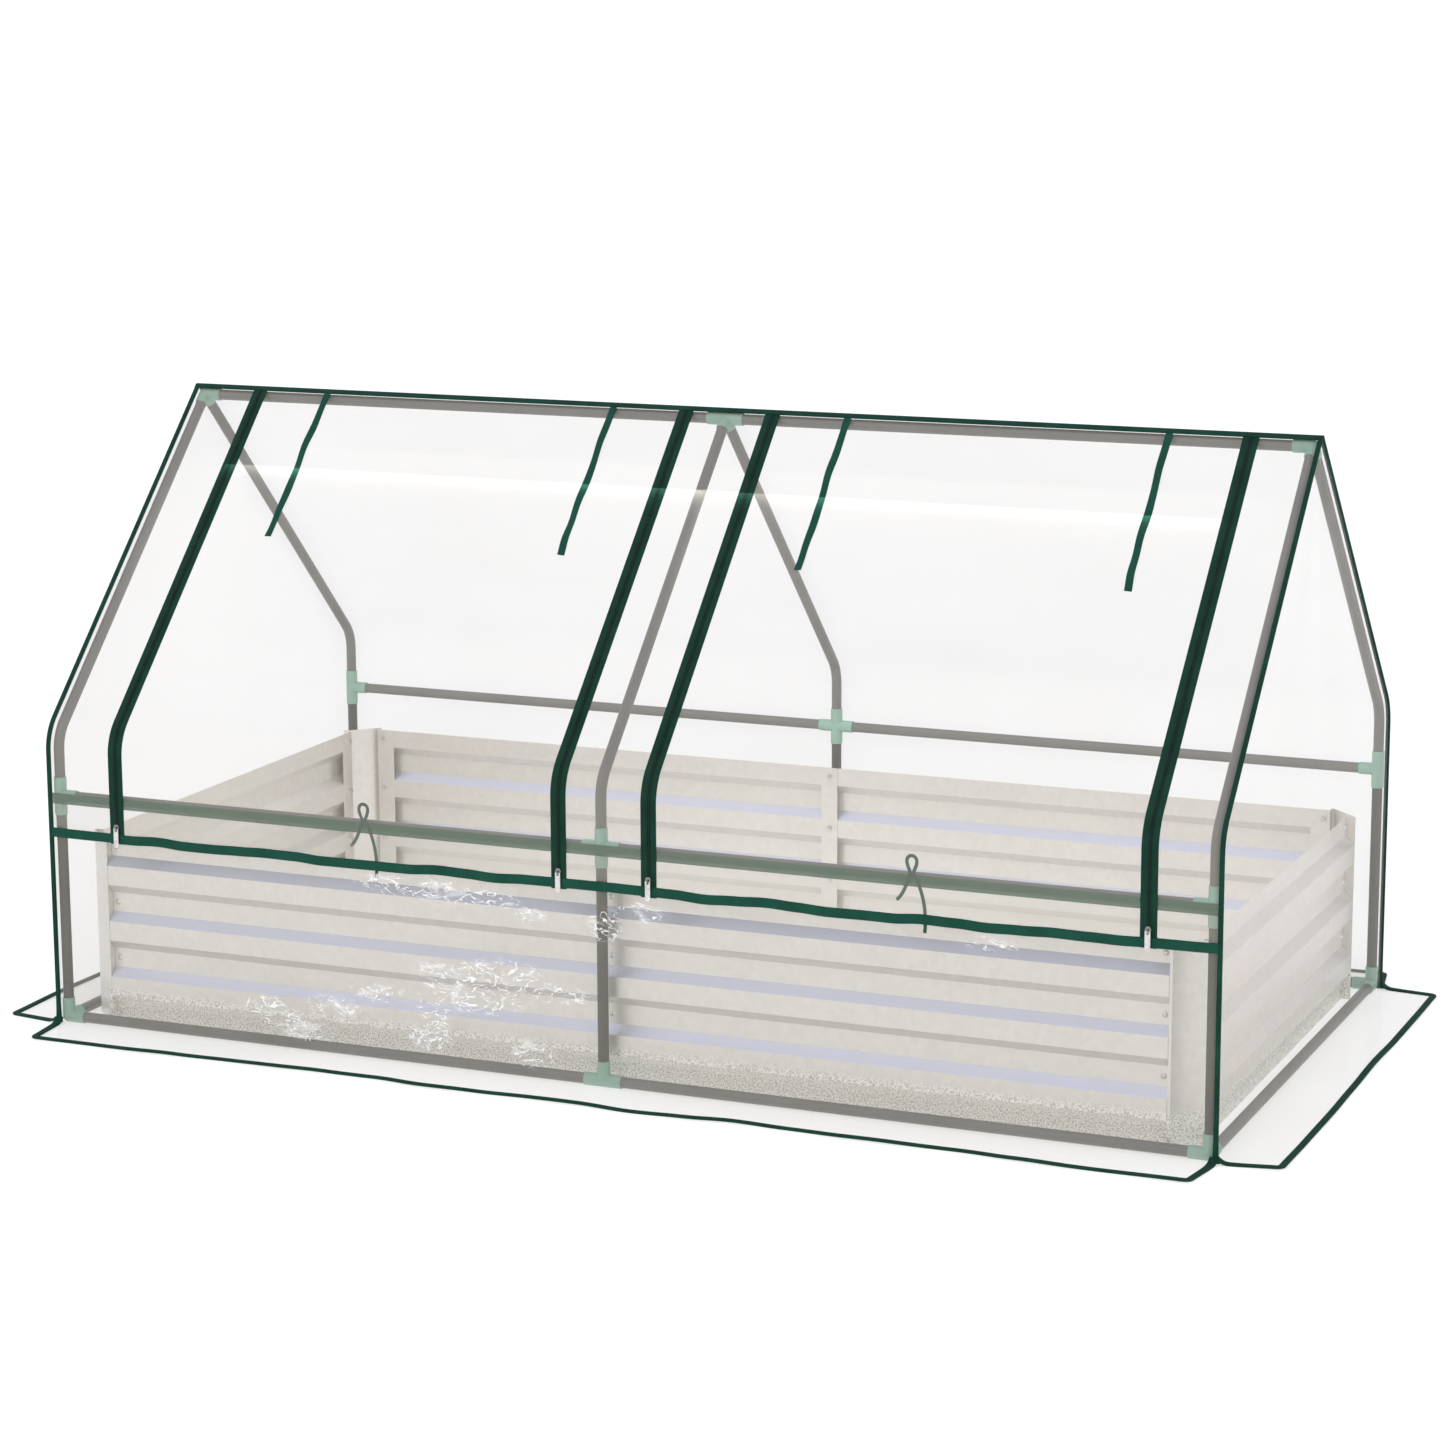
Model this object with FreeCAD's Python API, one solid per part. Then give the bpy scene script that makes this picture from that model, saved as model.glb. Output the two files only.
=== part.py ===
import FreeCAD, Part
import math
import os

# Cold frame: a galvanised raised bed inside a tube frame under a clear film cover.
# Millimetres. X runs along the length, the doors face -Y, Z is up.
# The origin is on the ground, under the middle of the frame.

# ---- driving dimensions ----

frame_length = 1800.0       # between the end hoops, tube centre to tube centre
frame_depth = 922.0         # front to back, tube centre to tube centre
mid_rail_rise = 345.0       # base rail to mid rail, centre to centre
knee_rise = 94.0            # mid rail to the bend of a hoop
ridge_rise = 465.0          # bend of a hoop to the ridge rail

tube_diameter = 16.0
tube_wall = 0.8
knee_bend_radius = 60.0     # on the tube's centre line

connector_wall = 1.4
socket_clearance = 0.1      # radial, tube in socket
socket_depth = 19.5
slope_socket_depth = 10.5   # the same, for the ridge's sloping sockets
tube_end_gap = 1.5          # a tube's end to the side of a tube that crosses it
slope_end_gap = 1.43        # the same, between the two sloping tubes
mouth_rounding = 0.8

bed_clearance = 8.5         # connectors to the bed's outer face
bed_sheet = 0.6
rib_count = 3
rib_flat = 30.0             # height of a rib's outer face
rib_slope = 13.7            # height of the slope above or below a rib
rib_depth = 13.0
recess_flat = 29.5          # height of the flat between two ribs
panel_end_gap = 0.5         # panel end to corner post or to the next panel
seam_lap = 28.0             # how far two long panels overlap
seam_tuck = 6.0             # how far the lap runs on under its own panel
joint_strip_width = 28.0

corner_setback = 44.0       # corner to the start of the 45 degree face
corner_land = 4.0           # flat beside the 45 degree face
corner_flange = 30.0

bolt_diameter = 5.0
bolt_hole_clearance = 0.25  # radial
bolt_inset = 9.0            # panel end to bolt centre
bolt_head_diameter = 9.0
bolt_head_height = 2.4
bolt_stub = 1.5             # thread past the nut
nut_thread_clearance = 0.05  # radial
nut_width = 8.0             # across flats
nut_height = 4.0

film = 0.5
film_clearance = 0.5        # connectors to the fixed lower front panel
door_clearance = 1.5        # that panel to the doors in front of it
lower_panel_over_rail = 5.0  # top of that panel above the mid rail's centre
skirt_width = 90.0
door_hem_drop = 63.5        # door hem below the mid rail's centre
door_margin = 108.75        # gable film to the outer zips, with the doors in the middle
between_doors = 140.5       # the inner zips' centre lines
doors_offset = 9.0          # the pair of doors sits this far right of the middle
ridge_seam = 6.0            # ridge to the top edge of a door
zip_slot = 0.5              # half the gap between a door and the fixed film
zip_tape_half = 12.5
zip_tape = 0.8
knee_slack = 4.0            # a door's plates stop this short of its bend line
ridge_hinge_lift = 2.8      # door pivot above the film's outer ridge line

tie_inset = 120.0           # zip to roll-up tie
tie_length = 280.0
tie_width = 10.0
tie_thickness = 0.8
tie_start = 9.0             # ridge to the top of a tie
left_bow_offset = 51.75     # right of the left door's middle
right_bow_offset = 28.25    # right of the right door's middle
bow_width = 22.0
bow_height = 108.0
bow_top = 30.0              # above the mid rail's centre
bow_thickness = 1.0

slider_rise = 24.0          # slider centre above the door hem
slider_gap = 0.4            # tape to slider
slider_width = 9.0
slider_height = 13.0
slider_thickness = 2.2
arch_width = 2.0
arch_wall = 1.2
arch_gap_length = 2.8
pull_bar_diameter = 1.2
pull_bar_lift = 1.1         # slider face to the pull's bar centre
pull_arch_clearance = 0.5
pull_width = 8.0
pull_length = 29.0
pull_thickness = 1.0
pull_eye_clearance = 1.7    # arch to the far side of the eye

# ---- sizes worked out from those ----

tube_radius = tube_diameter / 2
socket_radius = tube_radius + socket_clearance
connector_radius = socket_radius + connector_wall
base_z = connector_radius
mid_z = base_z + mid_rail_rise
knee_z = mid_z + knee_rise
ridge_z = knee_z + ridge_rise
end_x = frame_length / 2
side_y = frame_depth / 2
socket_floor = tube_radius + tube_end_gap
socket_reach = socket_floor + socket_depth
slope_socket_floor = tube_radius * ridge_rise / side_y + slope_end_gap
slope_socket_reach = slope_socket_floor + slope_socket_depth
hoop_line = [(-side_y, 0.0), (-side_y, knee_z), (0.0, ridge_z), (side_y, knee_z), (side_y, 0.0)]

bed_x = end_x - connector_radius - bed_clearance
bed_y = side_y - connector_radius - bed_clearance
rib_pitch = rib_flat + 2 * rib_slope + recess_flat
bed_height = rib_count * rib_pitch + recess_flat
recess_middles = [recess_flat / 2 + row * rib_pitch for row in range(rib_count + 1)]
panel_inset = corner_setback + corner_land + panel_end_gap

lower_panel_gap = connector_radius + film_clearance
cover_gap = lower_panel_gap + film + door_clearance
cover_x = end_x + cover_gap
tape_face = cover_gap + film + zip_tape
door_hem_height = mid_z - door_hem_drop
door_width = cover_x - door_margin - between_doors / 2
zips = [doors_offset + side * (between_doors / 2 + outer * door_width)
        for side, outer in ((-1, 1), (-1, 0), (1, 0), (1, 1))]
bow_places = ((zips[0] + zips[1]) / 2 + left_bow_offset, (zips[2] + zips[3]) / 2 + right_bow_offset)
slider_z = door_hem_height + slider_rise
pull_eye_reach = arch_gap_length / 2 + arch_wall + pull_eye_clearance

UP = FreeCAD.Vector(0, 0, 1)
DOWN = FreeCAD.Vector(0, 0, -1)
LEFT = FreeCAD.Vector(-1, 0, 0)
RIGHT = FreeCAD.Vector(1, 0, 0)
BACKWARD = FreeCAD.Vector(0, 1, 0)
FORWARD = FreeCAD.Vector(0, -1, 0)


def save(name, *solids):
    """Write one node, as one solid or as a group of separate solids."""
    shape = solids[0] if len(solids) == 1 else Part.makeCompound(list(solids))
    shape.exportStep("parts/" + name + ".step")


def offset_line(points, distance):
    """Points of an open line moved sideways to its left, with mitred corners."""
    moved = []
    for index, (a, b) in enumerate(points):
        normals = []
        for first, second in ((index - 1, index), (index, index + 1)):
            if first < 0 or second >= len(points):
                continue
            da = points[second][0] - points[first][0]
            db = points[second][1] - points[first][1]
            length = math.hypot(da, db)
            normals.append((-db / length, da / length))
        na = sum(n[0] for n in normals) / len(normals)
        nb = sum(n[1] for n in normals) / len(normals)
        scale = distance / (na * na + nb * nb)
        moved.append((a + na * scale, b + nb * scale))
    return moved


def extruded(corners, along):
    """A closed outline of 3-D corners, swept along a vector."""
    loop = [FreeCAD.Vector(*corner) for corner in corners]
    return Part.Face(Part.makePolygon(loop + loop[:1])).extrude(along)


def box(x0, x1, y0, y1, z0, z1):
    """A block between two values on each axis."""
    return Part.makeBox(x1 - x0, y1 - y0, z1 - z0, FreeCAD.Vector(x0, y0, z0))


def placed(shape, angle, x=0.0, y=0.0, z=0.0):
    """A copy turned about Z through the origin, then moved."""
    copy = shape.copy()
    copy.rotate(FreeCAD.Vector(), UP, angle)
    copy.translate(FreeCAD.Vector(x, y, z))
    return copy


# ---- tube frame ----

def straight_tube(start, end):
    """A round tube between two points on its centre line."""
    way = end - start
    outer = Part.makeCylinder(tube_radius, way.Length, start, way)
    return outer.cut(Part.makeCylinder(tube_radius - tube_wall, way.Length, start, way))


def rail(x0, x1, y, z):
    """A tube along X whose ends sit on the socket floors at x0 and x1."""
    start = FreeCAD.Vector(x0 + socket_floor, y, z)
    return straight_tube(start, FreeCAD.Vector(x1 - socket_floor, y, z))


def slope_direction(side):
    """Unit vector from the ridge down the front (-1) or back (1) slope."""
    way = FreeCAD.Vector(0, side * side_y, knee_z - ridge_z)
    return way.normalize()


def hoop_tube(x, side):
    """The bent tube from a mid connector up to the ridge connector."""
    knee = FreeCAD.Vector(x, side * side_y, knee_z)
    slope = slope_direction(side)
    turn = DOWN.getAngle(slope)
    tangent = knee_bend_radius * math.tan(turn / 2)
    bottom = FreeCAD.Vector(x, side * side_y, mid_z + socket_floor)
    bend_start = knee - UP * tangent
    bend_end = knee - slope * tangent
    bisector = (DOWN - slope).normalize()
    bend_middle = knee + bisector * (knee_bend_radius / math.cos(turn / 2) - knee_bend_radius)
    top = FreeCAD.Vector(x, 0, ridge_z) + slope * slope_socket_floor
    path = Part.Wire([
        Part.LineSegment(bottom, bend_start).toShape(),
        Part.Arc(bend_start, bend_middle, bend_end).toShape(),
        Part.LineSegment(bend_end, top).toShape(),
    ])
    solids = []
    for radius in (tube_radius, tube_radius - tube_wall):
        ring = Part.Wire(Part.makeCircle(radius, bottom, UP))
        solids.append(path.makePipeShell([ring], True, True))
    return solids[0].cut(solids[1])


def connector(centre, arms):
    """A moulded socket fitting. arms are (direction, floor, mouth) from its centre."""
    sleeves = []
    bores = []
    for direction, floor, reach in arms:
        arm = Part.makeCylinder(connector_radius, reach, centre, direction)
        mouth = [edge for edge in arm.Edges if edge.BoundBox.Center.distanceToPoint(centre) > reach - 1
                 and len(edge.Vertexes) == 1]
        sleeves.append(arm.makeFillet(mouth_rounding, mouth))
        bores.append(Part.makeCylinder(socket_radius, reach, centre + direction * floor, direction))
    body = Part.makeSphere(connector_radius, centre).multiFuse(sleeves)
    return body.cut(bores).removeSplitter()


def make_frame():
    """Every tube, in its own node, and the connectors by kind."""
    for name, side in (("front", -1), ("back", 1)):
        y = side * side_y
        for level, z in (("base", base_z), ("mid", mid_z)):
            save(level + "_rail_" + name + "_left", rail(-end_x, 0, y, z))
            save(level + "_rail_" + name + "_right", rail(0, end_x, y, z))
        for place, x in (("left", -end_x), ("middle", 0.0), ("right", end_x)):
            save("hoop_tube_" + name + "_" + place, hoop_tube(x, side))
    for place, x in (("left", -end_x), ("right", end_x)):
        front = FreeCAD.Vector(x, -side_y + socket_floor, base_z)
        back = FreeCAD.Vector(x, side_y - socket_floor, base_z)
        save("base_rail_side_" + place, straight_tube(front, back))
    save("ridge_rail_left", rail(-end_x, 0, 0, ridge_z))
    save("ridge_rail_right", rail(0, end_x, 0, ridge_z))

    posts = []
    for x in (-end_x, 0.0, end_x):
        for y in (-side_y, side_y):
            foot = FreeCAD.Vector(x, y, base_z + socket_floor)
            posts.append(straight_tube(foot, FreeCAD.Vector(x, y, mid_z - socket_floor)))
    save("lower_posts", *posts)


def sockets(*directions):
    """Arms of the usual depth."""
    return [(direction, socket_floor, socket_reach) for direction in directions]


def make_connectors():
    """Six kinds of socket fitting."""
    base_corners = []
    mid_tees = []
    for side_x, inward in ((-end_x, RIGHT), (end_x, LEFT)):
        for side, across in ((-side_y, BACKWARD), (side_y, FORWARD)):
            base = FreeCAD.Vector(side_x, side, base_z)
            base_corners.append(connector(base, sockets(UP, inward, across)))
            middle = FreeCAD.Vector(side_x, side, mid_z)
            mid_tees.append(connector(middle, sockets(UP, DOWN, inward)))
    save("base_corner_connectors", *base_corners)
    save("mid_tee_connectors", *mid_tees)

    base_tees = []
    mid_crosses = []
    for side in (-side_y, side_y):
        base_tees.append(connector(FreeCAD.Vector(0, side, base_z), sockets(LEFT, RIGHT, UP)))
        mid_crosses.append(connector(FreeCAD.Vector(0, side, mid_z), sockets(LEFT, RIGHT, UP, DOWN)))
    save("base_tee_connectors", *base_tees)
    save("mid_cross_connectors", *mid_crosses)

    slopes = [(slope_direction(side), slope_socket_floor, slope_socket_reach) for side in (-1, 1)]
    ridge_ends = []
    for x, inward in ((-end_x, RIGHT), (end_x, LEFT)):
        ridge_ends.append(connector(FreeCAD.Vector(x, 0, ridge_z), slopes + sockets(inward)))
    save("ridge_end_connectors", *ridge_ends)
    ridge_middle = connector(FreeCAD.Vector(0, 0, ridge_z), slopes + sockets(LEFT, RIGHT))
    save("ridge_centre_connector", ridge_middle)


# ---- raised bed ----

def ribbed_sheet(x0, x1, setback=0.0):
    """Ribbed sheet along X that faces -Y. Its ribs' outer faces lie at y = setback."""
    face = [(rib_depth, 0.0)]
    for row in range(rib_count):
        z = row * rib_pitch + recess_flat
        face.append((rib_depth, z))
        face.append((0.0, z + rib_slope))
        face.append((0.0, z + rib_slope + rib_flat))
        face.append((rib_depth, z + 2 * rib_slope + rib_flat))
    face.append((rib_depth, bed_height))
    outline = [(x0, setback + y, z) for y, z in face]
    outline += [(x0, setback + y + bed_sheet, z) for y, z in reversed(face)]
    return extruded(outline, FreeCAD.Vector(x1 - x0, 0, 0))


def bolt_holes(x, y0, y1):
    """Cutters for a column of bolt holes along Y, one in each recess."""
    radius = bolt_diameter / 2 + bolt_hole_clearance
    return [Part.makeCylinder(radius, y1 - y0, FreeCAD.Vector(x, y0, z), BACKWARD)
            for z in recess_middles]


def panel(x0, x1, bolt_columns, tongue=None):
    """One bed panel, with its bolt columns and perhaps a tongue under the next panel."""
    sheet = ribbed_sheet(x0, x1)
    if tongue:
        sheet = sheet.fuse(ribbed_sheet(tongue[0], tongue[1], bed_sheet))
    cutters = []
    for x in bolt_columns:
        cutters += bolt_holes(x, 0.0, rib_depth + 3 * bed_sheet)
    return sheet.cut(cutters)


def corner_post():
    """Corner post for the front right corner, whose outer corner is at the origin.

    In plan it runs: flange behind the front panel, step out, land, 45 degree face,
    land, step in, flange behind the side panel.
    """
    behind = rib_depth + bed_sheet
    step = corner_setback + corner_land
    path = [
        (-step - corner_flange, behind), (-step, behind), (-step, 0.0), (-corner_setback, 0.0),
        (0.0, corner_setback), (0.0, step), (-behind, step), (-behind, step + corner_flange),
    ]
    outline = path + offset_line(path, bed_sheet)[::-1]
    post = extruded([(x, y, 0.0) for x, y in outline], UP * bed_height)
    column = panel_inset + bolt_inset
    cutters = bolt_holes(-column, behind, behind + bed_sheet)
    side = Part.makeCompound(bolt_holes(column, behind, behind + bed_sheet))
    cutters.append(placed(side, 90))
    return post.cut(cutters)


def bolt(grip):
    """A dome head bolt along +Y with the underside of its head at y = 0."""
    shank = Part.makeCylinder(bolt_diameter / 2, grip + nut_height + bolt_stub, FreeCAD.Vector(), BACKWARD)
    head_radius = bolt_head_diameter / 2
    ball_radius = (head_radius ** 2 + bolt_head_height ** 2) / (2 * bolt_head_height)
    ball = Part.makeSphere(ball_radius, FreeCAD.Vector(0, ball_radius - bolt_head_height, 0))
    cap = Part.makeCylinder(head_radius, bolt_head_height, FreeCAD.Vector(0, -bolt_head_height, 0), BACKWARD)
    return shank.fuse(ball.common(cap)).removeSplitter()


def nut(grip):
    """A hexagon nut against the far side of the clamped sheets."""
    corner = nut_width / math.sqrt(3)
    outline = []
    for k in range(6):
        angle = math.radians(60 * k)
        outline.append((corner * math.cos(angle), grip, corner * math.sin(angle)))
    bore = bolt_diameter / 2 + nut_thread_clearance
    hole = Part.makeCylinder(bore, nut_height, FreeCAD.Vector(0, grip, 0), BACKWARD)
    return extruded(outline, BACKWARD * nut_height).cut(hole)


def make_bed():
    """Six ribbed panels, four corner posts, two joint strips and their bolts."""
    long_end = bed_x - panel_inset
    short_end = bed_y - panel_inset
    column = panel_inset + bolt_inset
    left_panel = panel(-long_end, seam_lap / 2, (-bed_x + column, 0.0))
    right_start = seam_lap / 2 + panel_end_gap
    tongue = (-seam_lap / 2, right_start + seam_tuck)
    right_panel = panel(right_start, long_end, (0.0, bed_x - column), tongue)
    short_panel = panel(-short_end, short_end, (-bed_y + column, bed_y - column))
    save("bed_panel_front_left", placed(left_panel, 0, 0, -bed_y))
    save("bed_panel_front_right", placed(right_panel, 0, 0, -bed_y))
    save("bed_panel_back_left", placed(right_panel, 180, 0, bed_y))
    save("bed_panel_back_right", placed(left_panel, 180, 0, bed_y))
    save("bed_panel_left", placed(short_panel, -90, -bed_x, 0))
    save("bed_panel_right", placed(short_panel, 90, bed_x, 0))

    post = corner_post()
    save("bed_corner_front_right", placed(post, 0, bed_x, -bed_y))
    save("bed_corner_back_right", placed(post, 90, bed_x, bed_y))
    save("bed_corner_back_left", placed(post, 180, -bed_x, bed_y))
    save("bed_corner_front_left", placed(post, 270, -bed_x, -bed_y))

    strip_y = rib_depth + 2 * bed_sheet
    half = joint_strip_width / 2
    strip = box(-half, half, strip_y, strip_y + bed_sheet, 0.0, bed_height)
    strip = strip.cut(bolt_holes(0.0, strip_y, strip_y + bed_sheet))
    save("bed_joint_strips", placed(strip, 0, 0, -bed_y), placed(strip, 180, 0, bed_y))

    bolts = []
    nuts = []
    for angle, half_length, half_width, seam in (
            (0, bed_x, bed_y, True), (90, bed_y, bed_x, False),
            (180, bed_x, bed_y, True), (270, bed_y, bed_x, False)):
        columns = [(column - half_length, 2), (half_length - column, 2)]
        if seam:
            columns.append((0.0, 3))
        for x, sheets in columns:
            grip = sheets * bed_sheet
            for z in recess_middles:
                for group, piece in ((bolts, bolt(grip)), (nuts, nut(grip))):
                    piece.translate(FreeCAD.Vector(x, rib_depth - half_width, z))
                    piece.rotate(FreeCAD.Vector(), UP, angle)
                    group.append(piece)
    save("bed_bolts", *bolts)
    save("bed_nuts", *nuts)


# ---- film cover ----

def layer(x0, x1, segment, inner, thickness, start_trim=None, end_trim=None):
    """A flat sheet that follows one segment of the hoop line, between two distances outside it.

    Segment 0 is the front wall, 1 the front slope, 2 the back slope and 3 the back wall.
    An end is mitred to the next segment, or cut square at a trim from the mitre point.
    """
    lines = [offset_line(hoop_line, gap) for gap in (inner, inner + thickness)]
    corners = []
    for line in lines:
        start = FreeCAD.Vector(0, *line[segment])
        end = FreeCAD.Vector(0, *line[segment + 1])
        corners.append([start, end])
    along = (corners[0][1] - corners[0][0]).normalize()
    outward = FreeCAD.Vector(0, -along.z, along.y) * thickness
    if start_trim is not None:
        corners[0][0] = corners[0][0] + along * start_trim
        corners[1][0] = corners[0][0] + outward
    if end_trim is not None:
        corners[0][1] = corners[0][1] - along * end_trim
        corners[1][1] = corners[0][1] + outward
    outline = [corners[0][0], corners[0][1], corners[1][1], corners[1][0]]
    shift = FreeCAD.Vector(x0, 0, 0)
    return extruded([corner + shift for corner in outline], FreeCAD.Vector(x1 - x0, 0, 0))


def gable(side):
    """The five sided end film, from the ground to the ridge."""
    outline = offset_line(hoop_line, cover_gap + film)
    x = cover_x if side > 0 else -cover_x - film
    return extruded([(x, y, z) for y, z in outline], FreeCAD.Vector(film, 0, 0))


def make_cover():
    """The fixed film, its zip tapes and the flaps on the ground."""
    hem = door_hem_height
    back_roof = layer(-cover_x, cover_x, 2, cover_gap, film)
    back_wall = layer(-cover_x, cover_x, 3, cover_gap, film)
    save("cover_back", back_roof, back_wall)
    save("cover_gable_left", gable(-1))
    save("cover_gable_right", gable(1))

    panel_top = mid_z + lower_panel_over_rail
    front_y = -side_y - lower_panel_gap
    near_x = cover_x + film
    near_y = side_y + cover_gap + film
    lower = box(-cover_x, cover_x, front_y - film, front_y, 0.0, panel_top)
    foot = box(-cover_x, cover_x, -near_y, front_y - film, 0.0, film)
    save("cover_front_lower", lower.fuse(foot).removeSplitter())

    strips = []
    edges = [-cover_x, zips[0] - zip_slot, zips[1] + zip_slot, zips[2] - zip_slot,
             zips[3] + zip_slot, cover_x]
    for x0, x1 in zip(edges[0::2], edges[1::2]):
        strips.append(layer(x0, x1, 0, cover_gap, film, start_trim=hem))
        strips.append(layer(x0, x1, 1, cover_gap, film, end_trim=ridge_seam))
    save("cover_front_strips", *strips)

    tapes = []
    for x, outward in zip(zips, (-1, 1, -1, 1)):
        x0, x1 = sorted((x + outward * zip_slot, x + outward * zip_tape_half))
        tapes.append(layer(x0, x1, 0, cover_gap + film, zip_tape, start_trim=hem))
        tapes.append(layer(x0, x1, 1, cover_gap + film, zip_tape, end_trim=ridge_seam))
    save("zip_tapes", *tapes)

    far_x = near_x + skirt_width
    far_y = near_y + skirt_width
    save(
        "cover_skirt",
        box(-near_x, near_x, -far_y, -near_y, 0.0, film),
        box(-near_x, near_x, near_y, far_y, 0.0, film),
        box(-far_x, -near_x, -near_y, near_y, 0.0, film),
        box(near_x, far_x, -near_y, near_y, 0.0, film),
    )

    bows = []
    bow_y = front_y - film
    for x in bow_places:
        half = bow_width / 2
        top = mid_z + bow_top
        bows.append(box(x - half, x + half, bow_y - bow_thickness, bow_y, top - bow_height, top))
    save("panel_tie_bows", *bows)


# ---- doors ----

def make_door(name, left_zip, right_zip):
    """A door in two plates, over the slope and down the front, and its roll-up ties."""
    x0 = left_zip + zip_slot
    x1 = right_zip - zip_slot
    tape_edges = ((x0, left_zip + zip_tape_half), (right_zip - zip_tape_half, x1))
    roof = layer(x0, x1, 1, cover_gap, film, start_trim=knee_slack, end_trim=ridge_seam)
    flap = layer(x0, x1, 0, cover_gap, film, start_trim=door_hem_height, end_trim=knee_slack)
    for a, b in tape_edges:
        roof = roof.fuse(layer(a, b, 1, cover_gap + film, zip_tape, knee_slack, ridge_seam))
        flap = flap.fuse(layer(a, b, 0, cover_gap + film, zip_tape, door_hem_height, knee_slack))
    save(name + "_door_roof", roof)
    save(name + "_door_flap", flap)

    slope_length = math.hypot(side_y, ridge_z - knee_z)
    ties = []
    for x in (left_zip + tie_inset, right_zip - tie_inset):
        below = slope_length - tie_start - tie_length
        half = tie_width / 2
        ties.append(layer(x - half, x + half, 1, cover_gap + film, tie_thickness, below, tie_start))
    save(name + "_door_ties", *ties)


def slider():
    """A zip slider facing -Y, with its back at y = 0 and its pull's bar at height 0.

    A six sided plate carries a small arch, which the bar of the pull passes under.
    """
    half = slider_width / 2
    rise = slider_height / 2
    waist = half * 0.6
    plate = extruded([
        (-waist, 0, -rise), (waist, 0, -rise), (half, 0, rise * 0.35), (waist, 0, rise),
        (-waist, 0, rise), (-half, 0, rise * 0.35),
    ], FreeCAD.Vector(0, -slider_thickness, 0))
    arch_half = arch_gap_length / 2
    arch_room = pull_bar_lift + pull_bar_diameter / 2 + 0.4
    face = -slider_thickness
    a = arch_width / 2
    outer = box(-a, a, face - arch_room - arch_wall, face, -arch_half - arch_wall, arch_half + arch_wall)
    gap = box(-a, a, face - arch_room, face, -arch_half, arch_half)
    return plate.fuse(outer.cut(gap)).removeSplitter()


def pull():
    """The hanging pull: a long plate with an eye, which turns on its own cross bar."""
    half = pull_width / 2
    y = -slider_thickness - pull_bar_lift
    top = pull_bar_diameter / 2
    tail = half
    plate = box(-half, half, y - pull_thickness / 2, y + pull_thickness / 2, tail - pull_length, top)
    end = Part.makeCylinder(tail, pull_thickness, FreeCAD.Vector(0, y - pull_thickness / 2, tail - pull_length),
                            BACKWARD)
    eye_half = arch_width / 2 + pull_arch_clearance
    eye = box(-eye_half, eye_half, y - pull_thickness, y + pull_thickness, -pull_eye_reach, top + 1)
    bar = Part.makeCylinder(top, pull_width, FreeCAD.Vector(-half, y, 0), RIGHT)
    return plate.fuse(end).cut(eye).fuse(bar).removeSplitter()


def make_zip_fittings():
    """A slider and a pull at the foot of each zip."""
    back_y = -side_y - tape_face - slider_gap
    names = ("left_door_left", "left_door_right", "right_door_left", "right_door_right")
    for name, x in zip(names, zips):
        save("slider_" + name, placed(slider(), 0, x, back_y, slider_z))
        save("pull_" + name, placed(pull(), 0, x, back_y, slider_z))


os.makedirs("parts", exist_ok=True)
make_frame()
make_connectors()
make_bed()
make_cover()
make_door("left", zips[0], zips[1])
make_door("right", zips[2], zips[3])
make_zip_fittings()

outer_line = offset_line(hoop_line, cover_gap + film)
film_line = offset_line(hoop_line, cover_gap + film / 2)
print("zips at x", zips)
print("door pivot at z", outer_line[2][1] + ridge_hinge_lift)
print("door bend line at y, z", film_line[1])
print("pull bar at y", -side_y - tape_face - slider_gap - slider_thickness - pull_bar_lift, "z", slider_z)
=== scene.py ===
import math
import bpy
import numpy as np
from mathutils import Matrix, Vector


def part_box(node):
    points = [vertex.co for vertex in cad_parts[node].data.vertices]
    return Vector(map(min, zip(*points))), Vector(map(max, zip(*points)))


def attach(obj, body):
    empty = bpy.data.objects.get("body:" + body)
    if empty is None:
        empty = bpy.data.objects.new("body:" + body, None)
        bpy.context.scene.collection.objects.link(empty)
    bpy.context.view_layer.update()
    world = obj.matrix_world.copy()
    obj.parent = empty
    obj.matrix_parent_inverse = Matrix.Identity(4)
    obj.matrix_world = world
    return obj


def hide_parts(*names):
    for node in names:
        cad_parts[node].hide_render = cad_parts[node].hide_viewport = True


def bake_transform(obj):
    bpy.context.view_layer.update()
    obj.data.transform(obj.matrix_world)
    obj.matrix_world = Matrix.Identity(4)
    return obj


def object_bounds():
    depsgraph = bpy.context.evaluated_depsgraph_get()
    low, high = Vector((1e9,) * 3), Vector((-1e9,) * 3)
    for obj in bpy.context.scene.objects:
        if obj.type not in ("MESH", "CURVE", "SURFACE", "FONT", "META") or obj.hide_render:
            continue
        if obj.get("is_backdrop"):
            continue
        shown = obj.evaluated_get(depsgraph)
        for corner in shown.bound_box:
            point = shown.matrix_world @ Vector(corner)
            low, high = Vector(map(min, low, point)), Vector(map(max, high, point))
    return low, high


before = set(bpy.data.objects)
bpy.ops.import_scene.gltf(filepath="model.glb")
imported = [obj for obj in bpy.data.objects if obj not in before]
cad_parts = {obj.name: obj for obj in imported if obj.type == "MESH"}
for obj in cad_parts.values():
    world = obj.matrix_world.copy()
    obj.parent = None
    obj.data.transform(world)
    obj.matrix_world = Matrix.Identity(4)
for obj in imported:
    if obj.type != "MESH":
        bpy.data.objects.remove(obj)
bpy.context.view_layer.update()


# ---- studio ----
# A pale floor lit from below like a light table, a wide soft sun, and an even
# sky that turns lavender overhead, which the zinc slopes mirror. A bounce card
# under the ridge lights the bed, and isn't seen itself.

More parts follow.
